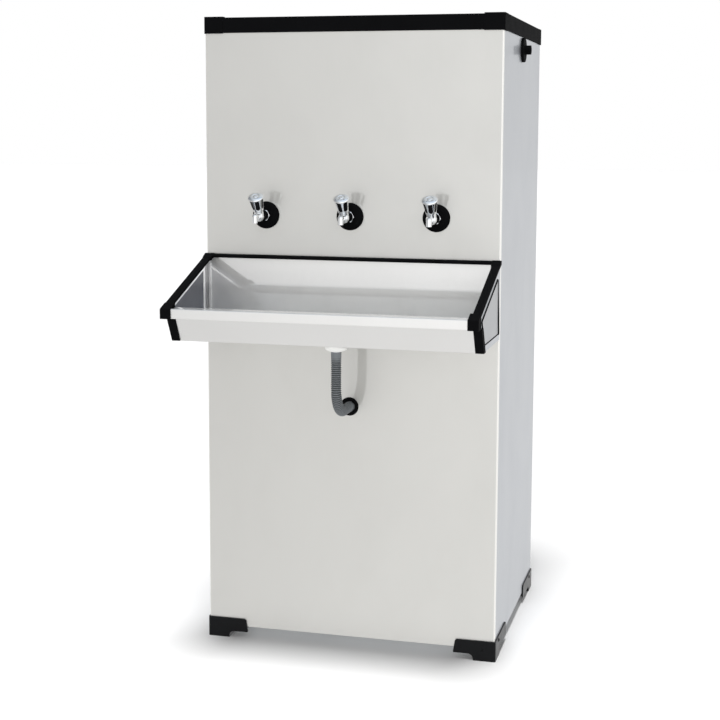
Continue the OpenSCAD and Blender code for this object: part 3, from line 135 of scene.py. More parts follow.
class Graph:
    """Places and links nodes in one shader tree."""

    def __init__(self, tree: Tree) -> None:
        """Keeps the tree that nodes go into."""
        self.tree = tree

    def add(self, kind: str, inputs: Inputs | None = None, **settings: object) -> Node:
        """Adds a node.

        Args:
            kind: Blender's name of the node type.
            inputs: Values or output sockets for inputs, by name or number.
            settings: Properties of the node.

        Returns:
            The new node.
        """
        node = self.tree.nodes.new(kind)
        for key, value in settings.items():
            setattr(node, key, value)
        for key, value in (inputs or {}).items():
            self.feed(node.inputs[key], value)
        return node

    def feed(self, socket: Socket, value: Value) -> None:
        """Links a socket to another one, or sets its value.

        Args:
            socket: The input socket.
            value: An output socket, a number, or three numbers, which get an alpha of 1 on a colour.
        """
        if isinstance(value, bpy.types.NodeSocket):
            self.tree.links.new(value, socket)
        elif socket.type == "RGBA" and len(value) == 3:
            socket.default_value = (*value, 1.0)
        else:
            socket.default_value = value

    def group(self, tree: Tree, **values: float) -> Node:
        """Places a shared group with its own values, named in small letters."""
        inputs = {key.capitalize(): value for key, value in values.items()}
        return self.add("ShaderNodeGroup", inputs, node_tree=tree)

    def math(self, operation: str, a: Value, b: Value = 0.0, clamp: bool = False) -> Socket:
        """Result of a Math node of two values, as a socket."""
        return self.add("ShaderNodeMath", {0: a, 1: b}, operation=operation, use_clamp=clamp).outputs[0]

    def plus(self, base: Value, value: Value, factor: Value, clamp: bool = False) -> Socket:
        """A base plus a value times a factor, as a socket."""
        return self.math("ADD", base, self.math("MULTIPLY", value, factor), clamp)

    def span(
        self, value: Socket, low: float, high: float, to_low: float = 0.0, to_high: float = 1.0
    ) -> Socket:
        """A value mapped from one range to another and held at both ends, as a socket."""
        ends = {"From Min": low, "From Max": high, "To Min": to_low, "To Max": to_high}
        return self.add("ShaderNodeMapRange", {"Value": value, **ends}).outputs["Result"]

    def rise(self, value: Socket, start: float, blur: float) -> Socket:
        """Mask that goes from 0 where a value is at its start to 1 a blur further on, as a socket."""
        return self.span(value, start, start + blur)

    def mix(self, factor: Value, a: Value, b: Value) -> Socket:
        """Two colours mixed by a factor, as a socket."""
        return self.add("ShaderNodeMix", {0: factor, 6: a, 7: b}, data_type="RGBA").outputs[2]

    def place(self, scale: Place = (1.0, 1.0, 1.0)) -> Socket:
        """Object coordinates stretched by a scale, as a socket."""
        source = self.add("ShaderNodeTexCoord").outputs["Object"]
        return self.add("ShaderNodeMapping", {"Vector": source, "Scale": scale}).outputs["Vector"]

    def axes(self) -> tuple[Socket, Socket, Socket]:
        """X, Y and Z of the object coordinates, as sockets."""
        return tuple(self.add("ShaderNodeSeparateXYZ", {"Vector": self.place()}).outputs)

    def noise(
        self, vector: Socket, scale: Value, detail: float, roughness: float = 0.5, distortion: float = 0.0
    ) -> Socket:
        """Value of a noise texture at a place, as a socket from 0 to 1."""
        form = {"Scale": scale, "Detail": detail, "Roughness": roughness, "Distortion": distortion}
        return self.add("ShaderNodeTexNoise", {"Vector": vector, **form}).outputs["Fac"]

    def bump(self, height: Socket, relief: Pair, normal: Socket | None = None) -> Socket:
        """Adds a bump.

        Args:
            height: Height of the surface.
            relief: Strength and distance of the bump.
            normal: Normal that it starts from.

        Returns:
            The new normal.
        """
        inputs = {"Height": height, "Strength": relief[0], "Distance": relief[1]}
        if normal is not None:
            inputs["Normal"] = normal
        return self.add("ShaderNodeBump", inputs).outputs["Normal"]


@dataclass
class Effects:
    """Shader node groups that several finishes share."""

    grain_stretch: float = 0.012
    mark_stretch: float = 0.55
    mark_bend: float = 1.2
    mark_breaks: float = 55.0
    mark_start: float = 0.75
    mark_contrast: float = 2.5
    grit: float = 2600.0
    grit_share: float = 0.6
    cloudiness: float = 24.0
    edge_cosines: Pair = (0.999, 0.8)

    def __post_init__(self) -> None:
        """Builds every group once."""
        self.rolled_grain = self._rolled_grain()
        self.handling_marks = self._handling_marks()
        self.moulded_skin = self._moulded_skin()
        self.soft_edges = self._soft_edges()

    @staticmethod
    def _new(name: str, inputs: dict[str, float], outputs: dict[str, Kind]) -> tuple[Graph, list[Socket]]:
        """Makes an empty group.

        Args:
            name: Name of the group.
            inputs: Names and first values of its number inputs.
            outputs: Names and kinds of its outputs.

        Returns:
            Its graph, and the sockets that its inputs come from.
        """
        tree = bpy.data.node_groups.new(name, "ShaderNodeTree")
        for key, value in inputs.items():
            socket = tree.interface.new_socket(key, in_out="INPUT", socket_type=Kind.NUMBER.value)
            socket.default_value = value
        for key, kind in outputs.items():
            tree.interface.new_socket(key, in_out="OUTPUT", socket_type=kind.value)
        graph = Graph(tree)
        given = graph.add("NodeGroupInput")
        return graph, [given.outputs[key] for key in inputs]

    def _rolled_grain(self) -> Tree:
        """Fine upright lines of rolled sheet: noise that is stretched about eightyfold along Z."""
        graph, (lines, amount) = self._new(
            "rolled_grain", {"Lines": 900.0, "Amount": 0.5}, {"Grain": Kind.NUMBER}
        )
        noise = graph.noise(graph.place((1.0, 1.0, self.grain_stretch)), lines, 2.0)
        grain = graph.plus(0.5, graph.math("SUBTRACT", noise, 0.5), amount, clamp=True)
        graph.add("NodeGroupOutput", {"Grain": grain})
        return graph.tree

    def _handling_marks(self) -> Tree:
        """Faint smears left by wiping and handling: broad noise that a second noise bends and breaks up."""
        graph, (size, cover) = self._new(
            "handling_marks", {"Size": 6.0, "Cover": 0.5}, {"Smear": Kind.NUMBER}
        )
        vector = graph.place((1.0, 1.0, self.mark_stretch))
        broad = graph.noise(vector, size, 4.0, distortion=self.mark_bend)
        fine = graph.noise(vector, self.mark_breaks, 5.0, 0.65)
        both = graph.math("MULTIPLY", broad, graph.span(fine, 0.3, 0.7, 0.6, 1.0))
        above = graph.math("SUBTRACT", both, graph.math("SUBTRACT", self.mark_start, cover))
        graph.add("NodeGroupOutput", {"Smear": graph.math("MULTIPLY", above, self.mark_contrast, clamp=True)})
        return graph.tree

    def _moulded_skin(self) -> Tree:
        """Fine spark-eroded texture of a moulding: cell borders of a small Voronoi pattern under noise."""
        graph, (scale,) = self._new(
            "moulded_skin", {"Scale": 1500.0}, {"Height": Kind.NUMBER, "Tone": Kind.NUMBER}
        )
        vector = graph.place()
        cells = graph.add("ShaderNodeTexVoronoi", {"Vector": vector, "Scale": scale}).outputs["Distance"]
        height = graph.plus(cells, graph.noise(vector, self.grit, 2.0), self.grit_share)
        tone = graph.noise(vector, self.cloudiness, 4.0, 0.6)
        graph.add("NodeGroupOutput", {"Height": height, "Tone": tone})
        return graph.tree

    def _soft_edges(self) -> Tree:
        """Rounded shading of edges, and a mask of them, which falls with the cosine of their turn."""
        graph, (radius,) = self._new(
            "soft_edges", {"Radius": 0.0008}, {"Normal": Kind.VECTOR, "Edge": Kind.NUMBER}
        )
        bevel = graph.add("ShaderNodeBevel", {"Radius": radius}, samples=4).outputs["Normal"]
        flat = graph.add("ShaderNodeNewGeometry").outputs["True Normal"]
        cosine = graph.add("ShaderNodeVectorMath", {0: bevel, 1: flat}, operation="DOT_PRODUCT")
        edge = graph.span(cosine.outputs["Value"], *self.edge_cosines)
        graph.add("NodeGroupOutput", {"Normal": bevel, "Edge": edge})
        return graph.tree


@dataclass(frozen=True)
class Finish:
    """Surface of one material slot: a principled shader whose inputs a subclass feeds with its pattern."""

    name: str
    colour: Rgb
    roughness: float
    metallic: float = 0.0
    specular: float = 0.5
    edge_radius: float = 0.001

    def material(self, effects: Effects) -> Material:
        """Builds the material.

        Args:
            effects: The shared node groups.

        Returns:
            The new material.
        """
        made = bpy.data.materials.new(self.name)
        made.use_nodes = True
        made.node_tree.nodes.clear()
        graph = Graph(made.node_tree)
        plain = {
            "Base Color": self.colour, "Roughness": self.roughness, "Metallic": self.metallic,
            "Specular IOR Level": self.specular,
        }
        shader = graph.add("ShaderNodeBsdfPrincipled", plain | self.detail(graph, effects))
        graph.add("ShaderNodeOutputMaterial", {"Surface": shader.outputs["BSDF"]})
        return made

    def detail(self, graph: Graph, effects: Effects) -> Inputs:
        """Makes this finish's own pattern; a plain finish has none.

        Args:
            graph: Graph of the material.
            effects: The shared node groups.

        Returns:
            Inputs of the shader that carry the pattern.
        """
        return {}

    def edges(self, graph: Graph, effects: Effects) -> tuple[Socket, Socket]:
        """Normal of the finish's soft edges and the mask of where they are, as sockets."""
        return tuple(graph.group(effects.soft_edges, radius=self.edge_radius).outputs)

    def shade(self, factor: float) -> Rgb:
        """The finish's colour, lighter or darker by a factor."""
        return scaled(self.colour, factor)

    def toned(self, graph: Graph, value: Socket, tones: Pair) -> Socket:
        """Colour that goes from one shade to another as a value goes from 0 to 1, as a socket."""
        return graph.mix(value, self.shade(tones[0]), self.shade(tones[1]))

    def gloss(self, graph: Graph, value: Socket, swing: Pair, ends: Pair = (0.0, 1.0)) -> Socket:
        """The finish's roughness plus one swing or the other at a value's two ends, as a socket."""
        return graph.span(value, *ends, self.roughness + swing[0], self.roughness + swing[1])


@dataclass(frozen=True)
class SheetSteel(Finish):
    """Stainless sheet: a satin base under a mirror coat that shows faint, sharp images."""

    metallic: float = 1.0
    edge_radius: float = 0.0003
    # Strength of the painted highlight along the sheet's edges.
    edge_highlight: float = 1.35
    coat: float = 1.0
    coat_ior: float = 2.15
    coat_roughness: float = 0.02
    grain: float = 0.5
    grain_tones: Pair = (0.97, 1.03)
    grain_gloss: Pair = (-0.05, 0.05)
    grain_relief: Pair = (0.03, 0.0002)
    smears: float = 0.07
    smear_tone: float = 0.86
    smear_gloss: float = 0.06
    smear_coat: float = 0.88

    def detail(self, graph: Graph, effects: Effects) -> Inputs:
        """Inputs with grain, smears and a painted highlight on the edges."""
        grain = graph.group(effects.rolled_grain, amount=self.grain).outputs["Grain"]
        smear = graph.group(effects.handling_marks).outputs["Smear"]
        normal, edge = self.edges(graph, effects)
        toned = self.toned(graph, grain, self.grain_tones)
        worn = graph.mix(graph.math("MULTIPLY", smear, self.smears), toned, self.shade(self.smear_tone))
        return {
            "Base Color": self.regions(graph, worn, edge),
            "Roughness": graph.plus(self.gloss(graph, grain, self.grain_gloss), smear, self.smear_gloss),
            "Coat Weight": graph.span(smear, 0.0, 1.0, self.coat, self.coat * self.smear_coat),
            "Coat IOR": self.coat_ior,
            "Coat Roughness": self.coat_roughness,
            "Normal": graph.bump(grain, self.grain_relief, normal),
        }

    def regions(self, graph: Graph, colour: Socket, edge: Socket) -> Socket:
        """Lays a painted highlight along the sheet's edges over its colour.

        Args:
            graph: Graph of the material.
            colour: Colour of the sheet so far.
            edge: Mask of its edges.

        Returns:
            The new colour.
        """
        return graph.mix(edge, colour, self.shade(self.edge_highlight))


@dataclass(frozen=True)
class CorneredSteel(SheetSteel):
    """Front sheet with a painted highlight along its folded corners."""

    corner_from: float = HALF_W - 0.0028
    corner_blur: float = 0.001
    # Strength of the painted highlight on the folded corners.
    corner_highlight: float = 1.3

    def regions(self, graph: Graph, colour: Socket, edge: Socket) -> Socket:
        """Colour with a painted highlight on the corners, which lie farther from the middle than a distance.
        """
        x, _y, _z = graph.axes()
        corner = graph.rise(graph.math("ABSOLUTE", x), self.corner_from, self.corner_blur)
        return super().regions(graph, graph.mix(corner, colour, self.shade(self.corner_highlight)), edge)


@dataclass(frozen=True)
class LippedSteel(SheetSteel):
    """Basin sheet with a painted highlight on its lip, its inside painted lighter than the apron, and painted
    shade on the rear returns.
    """

    lip_from: float = -0.402
    lip_blur: float = 0.002
    # Painted highlight on the lip.
    lip_highlight: float = 1.18
    inner_from: float = -0.36
    inner_blur: float = 0.02
    # Painted light on the inside, which makes it lighter than the apron.
    inner_painted_light: float = 1.26
    return_x: float = 0.3340
    return_reach: float = 0.0145
    return_blur: float = 0.0005
    # Painted shade on the narrow rear returns.
    return_shade: Rgb = (0.04, 0.045, 0.064)

    def regions(self, graph: Graph, colour: Socket, edge: Socket) -> Socket:
        """Colour with a painted highlight on the lip in front of one depth, painted light on the inside
        behind another, and painted shade on the narrow returns.
        """
        x, y, _z = graph.axes()
        inner = graph.rise(y, self.inner_from, self.inner_blur)
        lit_inside = graph.mix(inner, colour, self.shade(self.inner_painted_light))
        aside = graph.rise(graph.math("ABSOLUTE", x), self.return_x, self.return_blur)
        rear = graph.rise(y, FRONT_Y - self.return_reach - self.return_blur, self.return_blur)
        shaded_returns = graph.mix(graph.math("MULTIPLY", aside, rear), lit_inside, self.return_shade)
        lip = graph.rise(y, self.lip_from, -self.lip_blur)
        return super().regions(graph, graph.mix(lip, shaded_returns, self.shade(self.lip_highlight)), edge)


@dataclass(frozen=True)
class EndSteel(SheetSteel):
    """Basin end plates, satin outside; the inner face carries dark blue-grey painted shade, painted lighter
    towards the bottom, with painted highlights along two folds.
    """

    # Painted shade of the inner face; the low fields below paint it lighter towards the bottom.
    inner: Rgb = (0.040, 0.045, 0.064)
    inner_x: float = 0.3365
    inner_blur: float = 0.0003
    low_z: Pair = (0.86, 0.74)
    low_painted_light: float = 2.2
    # Painted highlight along the two folds of the inner face.
    fold_highlight_tone: Rgb = (0.95, 0.95, 0.97)
    upright_fold: Pair = (0.0155, 0.0275)
    sloping_fold: Pair = (0.0225, 0.0270)
    fold_blur: float = 0.001

    def regions(self, graph: Graph, colour: Socket, edge: Socket) -> Socket:
        """Colour with painted shade on the inner face, nearer the middle than a distance, and painted
        highlights along its folds.
        """
        x, y, z = graph.axes()
        # Painted shade of the inner face, lighter towards the bottom.
        dark = graph.mix(graph.span(z, *self.low_z), self.inner, scaled(self.inner, self.low_painted_light))
        reach = graph.math("SUBTRACT", FRONT_Y, y)
        below = graph.math("SUBTRACT", graph.plus(BASIN_BACK_Z, reach, -BASIN_RAKE), z)
        upright = self.band(graph, reach, self.upright_fold)
        sloping = self.band(graph, below, self.sloping_fold)
        folded = graph.mix(graph.math("MAXIMUM", upright, sloping), dark, self.fold_highlight_tone)
        inside = graph.rise(graph.math("ABSOLUTE", x), self.inner_x, -self.inner_blur)
        return graph.mix(inside, super().regions(graph, colour, edge), folded)

    def band(self, graph: Graph, value: Socket, ends: Pair) -> Socket:
        """Marks where a value lies between two ends, with soft borders.

        Args:
            graph: Graph of the material.
            value: The value.
            ends: Its two ends.

        Returns:
            A mask that is 1 between the ends.
        """
        rising = graph.rise(value, ends[0] - self.fold_blur, self.fold_blur)
        falling = graph.span(value, ends[1], ends[1] + self.fold_blur, 1.0, 0.0)
        return graph.math("MULTIPLY", rising, falling)


@dataclass(frozen=True)
class Galvanised(Finish):
    """Zinc-coated sheet with its crystal spangle: each Voronoi cell has its own tone and gloss."""

    metallic: float = 1.0
    edge_radius: float = 0.0005
    spangle: float = 75.0
    wander: float = 60.0
    wander_by: float = 0.008
    tones: Pair = (0.86, 1.12)
    swing: Pair = (-0.09, 0.09)
    bloom: Rgb = (0.70, 0.72, 0.73)
    bloom_scale: float = 9.0
    bloom_cover: float = 0.25
    relief: Pair = (0.04, 0.0003)

    def detail(self, graph: Graph, effects: Effects) -> Inputs:
        """Inputs with spangle, white bloom and soft edges."""
        vector = graph.place()
        noise = graph.add("ShaderNodeTexNoise", {"Vector": vector, "Scale": self.wander}).outputs["Color"]
        drift = graph.add("ShaderNodeVectorMath", {0: noise, "Scale": self.wander_by}, operation="SCALE")
        bent = graph.add("ShaderNodeVectorMath", {0: vector, 1: drift.outputs[0]}, operation="ADD").outputs[0]
        cells = graph.add("ShaderNodeTexVoronoi", {"Vector": bent, "Scale": self.spangle}).outputs["Color"]
        tone, shine, tilt = graph.add("ShaderNodeSeparateColor", {"Color": cells}).outputs
        clouds = graph.noise(vector, self.bloom_scale, 5.0, 0.6)
        bloom = graph.span(clouds, 0.55, 0.75, 0.0, self.bloom_cover)
        normal, _edge = self.edges(graph, effects)
        return {
            "Base Color": graph.mix(bloom, self.toned(graph, tone, self.tones), self.bloom),
            "Roughness": self.gloss(graph, shine, self.swing),
            "Normal": graph.bump(tilt, self.relief, normal),
        }


@dataclass(frozen=True)
class Moulding(Finish):
    """Moulded black plastic with a fine skin and a painted highlight along its edges."""

    edge_radius: float = 0.0012
    skin: float = 1500.0
    relief: Pair = (0.10, 0.0002)
    tones: Pair = (0.75, 1.3)
    swing: Pair = (-0.05, 0.06)
    # Strength of the painted highlight along the edges, where the plastic is also glossier.
    rub: float = 0.55
    edge_sheen_tone: float = 3.2
    edge_sheen_gloss: float = -0.1

    def detail(self, graph: Graph, effects: Effects) -> Inputs:
        """Inputs with the moulded skin, an uneven tone, and edges with a painted highlight and less
        roughness.
        """
        height, tone = graph.group(effects.moulded_skin, scale=self.skin).outputs
        normal, edge = self.edges(graph, effects)
        edge_sheen_mask = graph.math("MULTIPLY", edge, self.rub)
        rough = self.gloss(graph, tone, self.swing, NOISE_RANGE)
        return {
            "Base Color": graph.mix(edge_sheen_mask, self.toned(graph, tone, self.tones), self.shade(self.edge_sheen_tone)),
            "Roughness": graph.plus(rough, edge_sheen_mask, self.edge_sheen_gloss),
            "Normal": graph.bump(height, self.relief, normal),
        }


@dataclass(frozen=True)
class Enamel(Finish):
    """Sprayed enamel with the shallow waves of orange peel."""

    peel: float = 420.0
    relief: Pair = (0.12, 0.0004)
    dust: Rgb = (0.30, 0.28, 0.25)
    dust_scale: float = 16.0
    dust_cover: float = 0.10
    dust_gloss: float = 2.0

    def detail(self, graph: Graph, effects: Effects) -> Inputs:
        """Inputs with orange peel, dust and soft edges."""
        vector = graph.place()
        dust = graph.span(graph.noise(vector, self.dust_scale, 6.0, 0.7), 0.5, 0.8, 0.0, self.dust_cover)
        normal, _edge = self.edges(graph, effects)
        return {
            "Base Color": graph.mix(dust, self.colour, self.dust),
            "Roughness": graph.plus(self.roughness, dust, self.dust_gloss),
            "Normal": graph.bump(graph.noise(vector, self.peel, 2.0), self.relief, normal),
        }


@dataclass(frozen=True)
class Plated(Finish):
    """Polished plate with faint water marks; grooves that carry the attribute flute are painted black, a
    painted reflection of dark surroundings.
    """

    metallic: float = 1.0
    edge_radius: float = 0.0006
    mark_size: float = 60.0
    mark_cover: float = 0.12
    mark_tone: float = 0.8
    mark_gloss: Pair = (0.0, 0.05)
    fluted: bool = False
    # Black painted into the flutes as a reflection of dark surroundings.
    fill: Rgb = (0.004, 0.004, 0.005)
    flute_reflection_from: Pair = (0.35, 0.65)
    flute_reflection_gloss: float = 0.12

    def detail(self, graph: Graph, effects: Effects) -> Inputs:
        """Inputs with water marks, soft edges and the flutes painted black as a reflection of dark
        surroundings.
        """
        smear = graph.group(effects.handling_marks, size=self.mark_size).outputs["Smear"]
        marks = graph.math("MULTIPLY", smear, self.mark_cover)
        toned = graph.mix(marks, self.colour, self.shade(self.mark_tone))
        rough = self.gloss(graph, smear, self.mark_gloss)
        normal, _edge = self.edges(graph, effects)
        if not self.fluted:
            return {"Base Color": toned, "Roughness": rough, "Normal": normal}
        flute = graph.add("ShaderNodeAttribute", attribute_name="flute").outputs["Fac"]
        black_reflection = graph.span(flute, *self.flute_reflection_from)
        return {
            "Base Color": graph.mix(black_reflection, toned, self.fill),
            "Roughness": graph.plus(rough, black_reflection, self.flute_reflection_gloss),
            "Metallic": graph.math("SUBTRACT", 1.0, black_reflection),
            "Normal": normal,
        }


@dataclass(frozen=True)
class DrawnMetal(Finish):
    """Brass, copper or aluminium as it comes from the machine: fine tool lines and patches of tarnish."""

    metallic: float = 1.0
    edge_radius: float = 0.0005
    tarnish: Rgb = (0.2, 0.12, 0.06)
    cover: float = 0.5
    patches: float = 38.0
    patch_gloss: float = 0.25
    lines: float = 1400.0
    line_stretch: float = 0.05
    line_gloss: Pair = (-0.05, 0.05)
    relief: Pair = (0.05, 0.0002)

    def detail(self, graph: Graph, effects: Effects) -> Inputs:
        """Inputs with tool lines, tarnish and soft edges."""
        lines = graph.noise(graph.place((1.0, 1.0, self.line_stretch)), self.lines, 2.0)
        patch = graph.span(graph.noise(graph.place(), self.patches, 6.0, 0.65), 0.45, 0.75, 0.0, self.cover)
        rough = self.gloss(graph, lines, self.line_gloss, NOISE_RANGE)
        normal, _edge = self.edges(graph, effects)
        return {
            "Base Color": graph.mix(patch, self.colour, self.tarnish),
            "Roughness": graph.plus(rough, patch, self.patch_gloss),
            "Normal": graph.bump(lines, self.relief, normal),
        }


@dataclass(frozen=True)
class HoseSkin(Finish):
    """Flexible ribbed hose: dull and darkened with painted shade in the grooves, smoother on the ribs."""

    mottle: float = 130.0
    tones: Pair = (0.9, 1.25)
    groove_from: Pair = (0.25, 0.95)
    # Painted shade that darkens the grooves.
    groove_shade: float = 0.22
    groove_gloss: Pair = (0.0, 0.25)
    skin: float = 1900.0
    relief: Pair = (0.12, 0.0002)

    def detail(self, graph: Graph, effects: Effects) -> Inputs:
        """Inputs from the attribute groove, which is 0 on a rib and 1 between ribs."""
        groove = graph.add("ShaderNodeAttribute", attribute_name="groove").outputs["Fac"]
        vector = graph.place()
        ribs = self.toned(graph, graph.noise(vector, self.mottle, 4.0, 0.6), self.tones)
        shaded_groove = graph.span(groove, *self.groove_from)
        return {
            "Base Color": graph.mix(shaded_groove, ribs, self.shade(self.groove_shade)),
            "Roughness": self.gloss(graph, groove, self.groove_gloss),
            "Normal": graph.bump(graph.noise(vector, self.skin, 2.0), self.relief),
        }


@dataclass(frozen=True)
class GlossPlastic(Finish):
    """Glossy moulded plastic, faintly uneven in tone, with soft flow marks."""

    clouds: float = 30.0
    tones: Pair = (0.95, 1.03)
    flow: float = 140.0
    flow_stretch: float = 0.3
    swing: Pair = (-0.05, 0.07)
    relief: Pair = (0.04, 0.0004)

    def detail(self, graph: Graph, effects: Effects) -> Inputs:
        """Inputs with an uneven tone, flow marks and soft edges."""
        tone = graph.noise(graph.place(), self.clouds, 4.0, 0.6)
        flow = graph.noise(graph.place((1.0, 1.0, self.flow_stretch)), self.flow, 2.0)
        normal, _edge = self.edges(graph, effects)
        return {
            "Base Color": self.toned(graph, tone, self.tones),
            "Roughness": self.gloss(graph, flow, self.swing, NOISE_RANGE),
            "Normal": graph.bump(flow, self.relief, normal),
        }


@dataclass(frozen=True)
class BeadFoam(Finish):
    """Expanded foam made of pressed beads, which are the cells of a Voronoi pattern."""

    beads: float = 260.0
    seam_from: Pair = (0.35, 0.75)
    seam_cover: float = 0.4
    seam_tone: float = 0.72
    relief: Pair = (0.35, 0.001)

    def detail(self, graph: Graph, effects: Effects) -> Inputs:
        """Inputs with beads and dark seams between them."""
        cells = graph.add("ShaderNodeTexVoronoi", {"Vector": graph.place(), "Scale": self.beads})
        apart = cells.outputs["Distance"]
        seam = graph.span(apart, *self.seam_from, 0.0, self.seam_cover)
        return {
            "Base Color": graph.mix(seam, self.colour, self.shade(self.seam_tone)),
            "Normal": graph.bump(graph.math("SUBTRACT", 1.0, apart), self.relief),
        }


FINISHES: dict[Slot, Finish] = {
    Slot.FRONT_STEEL: CorneredSteel("front_steel", (0.728, 0.72, 0.686), 0.50),
    # side_steel is a darker, bluer copy of the front's steel: painted shade of the sides turned from the
    # light.
    Slot.SIDE_STEEL: SheetSteel("side_steel", (0.475, 0.495, 0.525), 0.36, coat=0.3),
    Slot.GALVANISED: Galvanised("galvanised_sheet", (0.55, 0.57, 0.58), 0.38),
    Slot.BLACK_TRIM: Moulding("black_trim", (0.0035, 0.0036, 0.0040), 0.68, specular=0.02),
    Slot.BLACK_METAL: Enamel("black_metal", (0.015, 0.015, 0.016), 0.28),
    Slot.CHROME: Plated("chrome_tap", (0.84, 0.85, 0.86), 0.05),
    Slot.BRASS: DrawnMetal("brass_fitting", (0.62, 0.46, 0.20), 0.28),
    Slot.RUBBER: Moulding("black_rubber", (0.004, 0.004, 0.0043), 0.6, specular=0.02, relief=(0.06, 0.0002)),
    Slot.HOSE: HoseSkin("grey_hose", (0.135, 0.147, 0.156), 0.42),
    Slot.WHITE: GlossPlastic("white_plastic", (0.82, 0.82, 0.80), 0.32),
    Slot.TANK: SheetSteel("tank_steel", (0.60, 0.60, 0.60), 0.34, coat=0.0),
    Slot.FOAM: BeadFoam("insulation_foam", (0.86, 0.86, 0.83), 0.8),
    Slot.COPPER: DrawnMetal("copper_tube", (0.60, 0.29, 0.17), 0.26, tarnish=(0.16, 0.08, 0.05)),
    Slot.FINS: DrawnMetal("condenser_fins", (0.62, 0.63, 0.64), 0.34, tarnish=(0.36, 0.36, 0.35)),
    Slot.FAN: Moulding("fan_plastic", (0.02, 0.02, 0.022), 0.45),
}
BASIN_TRAY = LippedSteel("basin_steel", (0.755, 0.748, 0.730), 0.46, smears=0.03, coat_ior=3.2)
# The outside of the basin ends and the end covers are darker, bluer copies of the basin's steel: painted
# shade.
BASIN_ENDS = EndSteel("basin_end_steel", (0.46, 0.48, 0.51), 0.34, coat=0.3)
END_COVERS = SheetSteel("cover_steel", (0.36, 0.37, 0.385), 0.36, coat=0.3)
FOOT_PLASTIC = Moulding("foot_plastic", (0.0045, 0.0049, 0.0056), 0.30, specular=0.13)
FLUTED_CHROME = Plated("fluted_chrome", (0.86, 0.87, 0.88), 0.05, specular=0.05, fluted=True)
ZINC_SCREW = DrawnMetal("zinc_screw", (0.60, 0.60, 0.58), 0.3, tarnish=(0.35, 0.33, 0.28), cover=0.3)


def add_object(name: str, data: bpy.types.ID) -> Piece:
    """Makes an object and links it to the scene.

    Args:
        name: Name of the object.
        data: Its mesh, lamp or camera.

    Returns:
        The new object.
    """
    made = bpy.data.objects.new(name, data)
    bpy.context.scene.collection.objects.link(made)
    return made


class Mesher:
    """Turns grids of points into mesh objects."""

    @staticmethod
    def faces(rows: int, columns: int, wrap_rows: bool) -> Array:
        """Quads between the points of a grid whose columns close on themselves.

        Args:
            rows: Number of rows of points.
            columns: Number of points in a row.
            wrap_rows: Whether the last row joins the first.

        Returns:
            Corner numbers, one row for each quad.
        """
        r = np.arange(rows if wrap_rows else rows - 1)[:, None]
        c = np.arange(columns)[None, :]
        r2, c2 = (r + 1) % rows, (c + 1) % columns
        quads = np.stack([r * columns + c, r * columns + c2, r2 * columns + c2, r2 * columns + c], axis=-1)
        return quads.reshape(-1, 4)

    @classmethod
    def build(
        cls, name: str, grids: list[Array], wrap_rows: bool, sharp: float,
        masks: dict[str, Array] | None = None,
    ) -> Piece:
        """Makes one object from grids.

        Args:
            name: Name of the object and its mesh.
            grids: Points of each grid, as rows, columns and three coordinates.
            wrap_rows: Whether the rows close too.
            sharp: Angle in degrees past which an edge stays sharp.
            masks: Values for each point, by attribute name.

        Returns:
            The new object, with its doubles merged and its faces pointing outwards.
        """
        counts = np.cumsum([0] + [grid.shape[0] * grid.shape[1] for grid in grids])
        quads = [cls.faces(*grid.shape[:2], wrap_rows) + first for grid, first in zip(grids, counts)]
        points = np.concatenate([grid.reshape(-1, 3) for grid in grids])
        mesh = bpy.data.meshes.new(name)
        mesh.from_pydata(points.tolist(), [], np.concatenate(quads).tolist())
        for key, values in (masks or {}).items():
            layer = mesh.attributes.new(key, "FLOAT", "POINT")
            layer.data.foreach_set("value", values.ravel().astype(np.float32))
        work = bmesh.new()
        work.from_mesh(mesh)
        bmesh.ops.remove_doubles(work, verts=work.verts, dist=1e-6)
        bmesh.ops.recalc_face_normals(work, faces=work.faces)
        work.to_mesh(mesh)
        work.free()
        mesh.shade_smooth()
        mesh.set_sharp_from_angle(angle=math.radians(sharp))
        return add_object(name, mesh)


def sampled(corners: Array, step: float, closed: bool) -> Array:
    """Points at even steps along the straight lines through corners.

    Args:
        corners: Corners, two numbers each.
        step: About the distance between points.
        closed: Whether the last corner is the first again, so that its point is left out.

    Returns:
        The points, two numbers each.
    """
    run = np.concatenate([[0.0], np.cumsum(np.linalg.norm(np.diff(corners, axis=0), axis=1))])
    count = int(run[-1] / step) if closed else int(round(run[-1] / step)) + 1
    at = np.linspace(0.0, run[-1], count, endpoint=not closed)
    return np.stack([np.interp(at, run, corners[:, k]) for k in range(2)], axis=1)


def rounded_profile(corners: list[Pair], step: float, rounding: float) -> Array:
    """Profile through corners, rounded at each of them.

    The line is sampled evenly along its length, and each sample is the mean of the samples around it.

    Args:
        corners: Corners of the profile.
        step: Distance between samples.
        rounding: Length that the mean is taken over.

    Returns:
        Samples of the profile, two numbers each.
    """
    points = sampled(np.asarray(corners, float), step, closed=False)
    half = max(1, int(round(rounding / step / 2)))
    kernel = np.ones(2 * half + 1) / (2 * half + 1)
    padded = np.pad(points, ((half, half), (0, 0)), mode="edge")
    return np.stack([np.convolve(padded[:, k], kernel, "valid") for k in range(2)], axis=1)


def smoothstep(value: Array, low: float, high: float) -> Array:
    """Smooth rise from 0 at one value to 1 at another: three t squared less two t cubed."""
    t = np.clip((value - low) / (high - low), 0.0, 1.0)
    return t * t * (3.0 - 2.0 * t)


def full_turn(count: int) -> Array:
    """Angles of one turn at even steps, without the last."""
    return np.linspace(0.0, 2 * np.pi, count, endpoint=False)


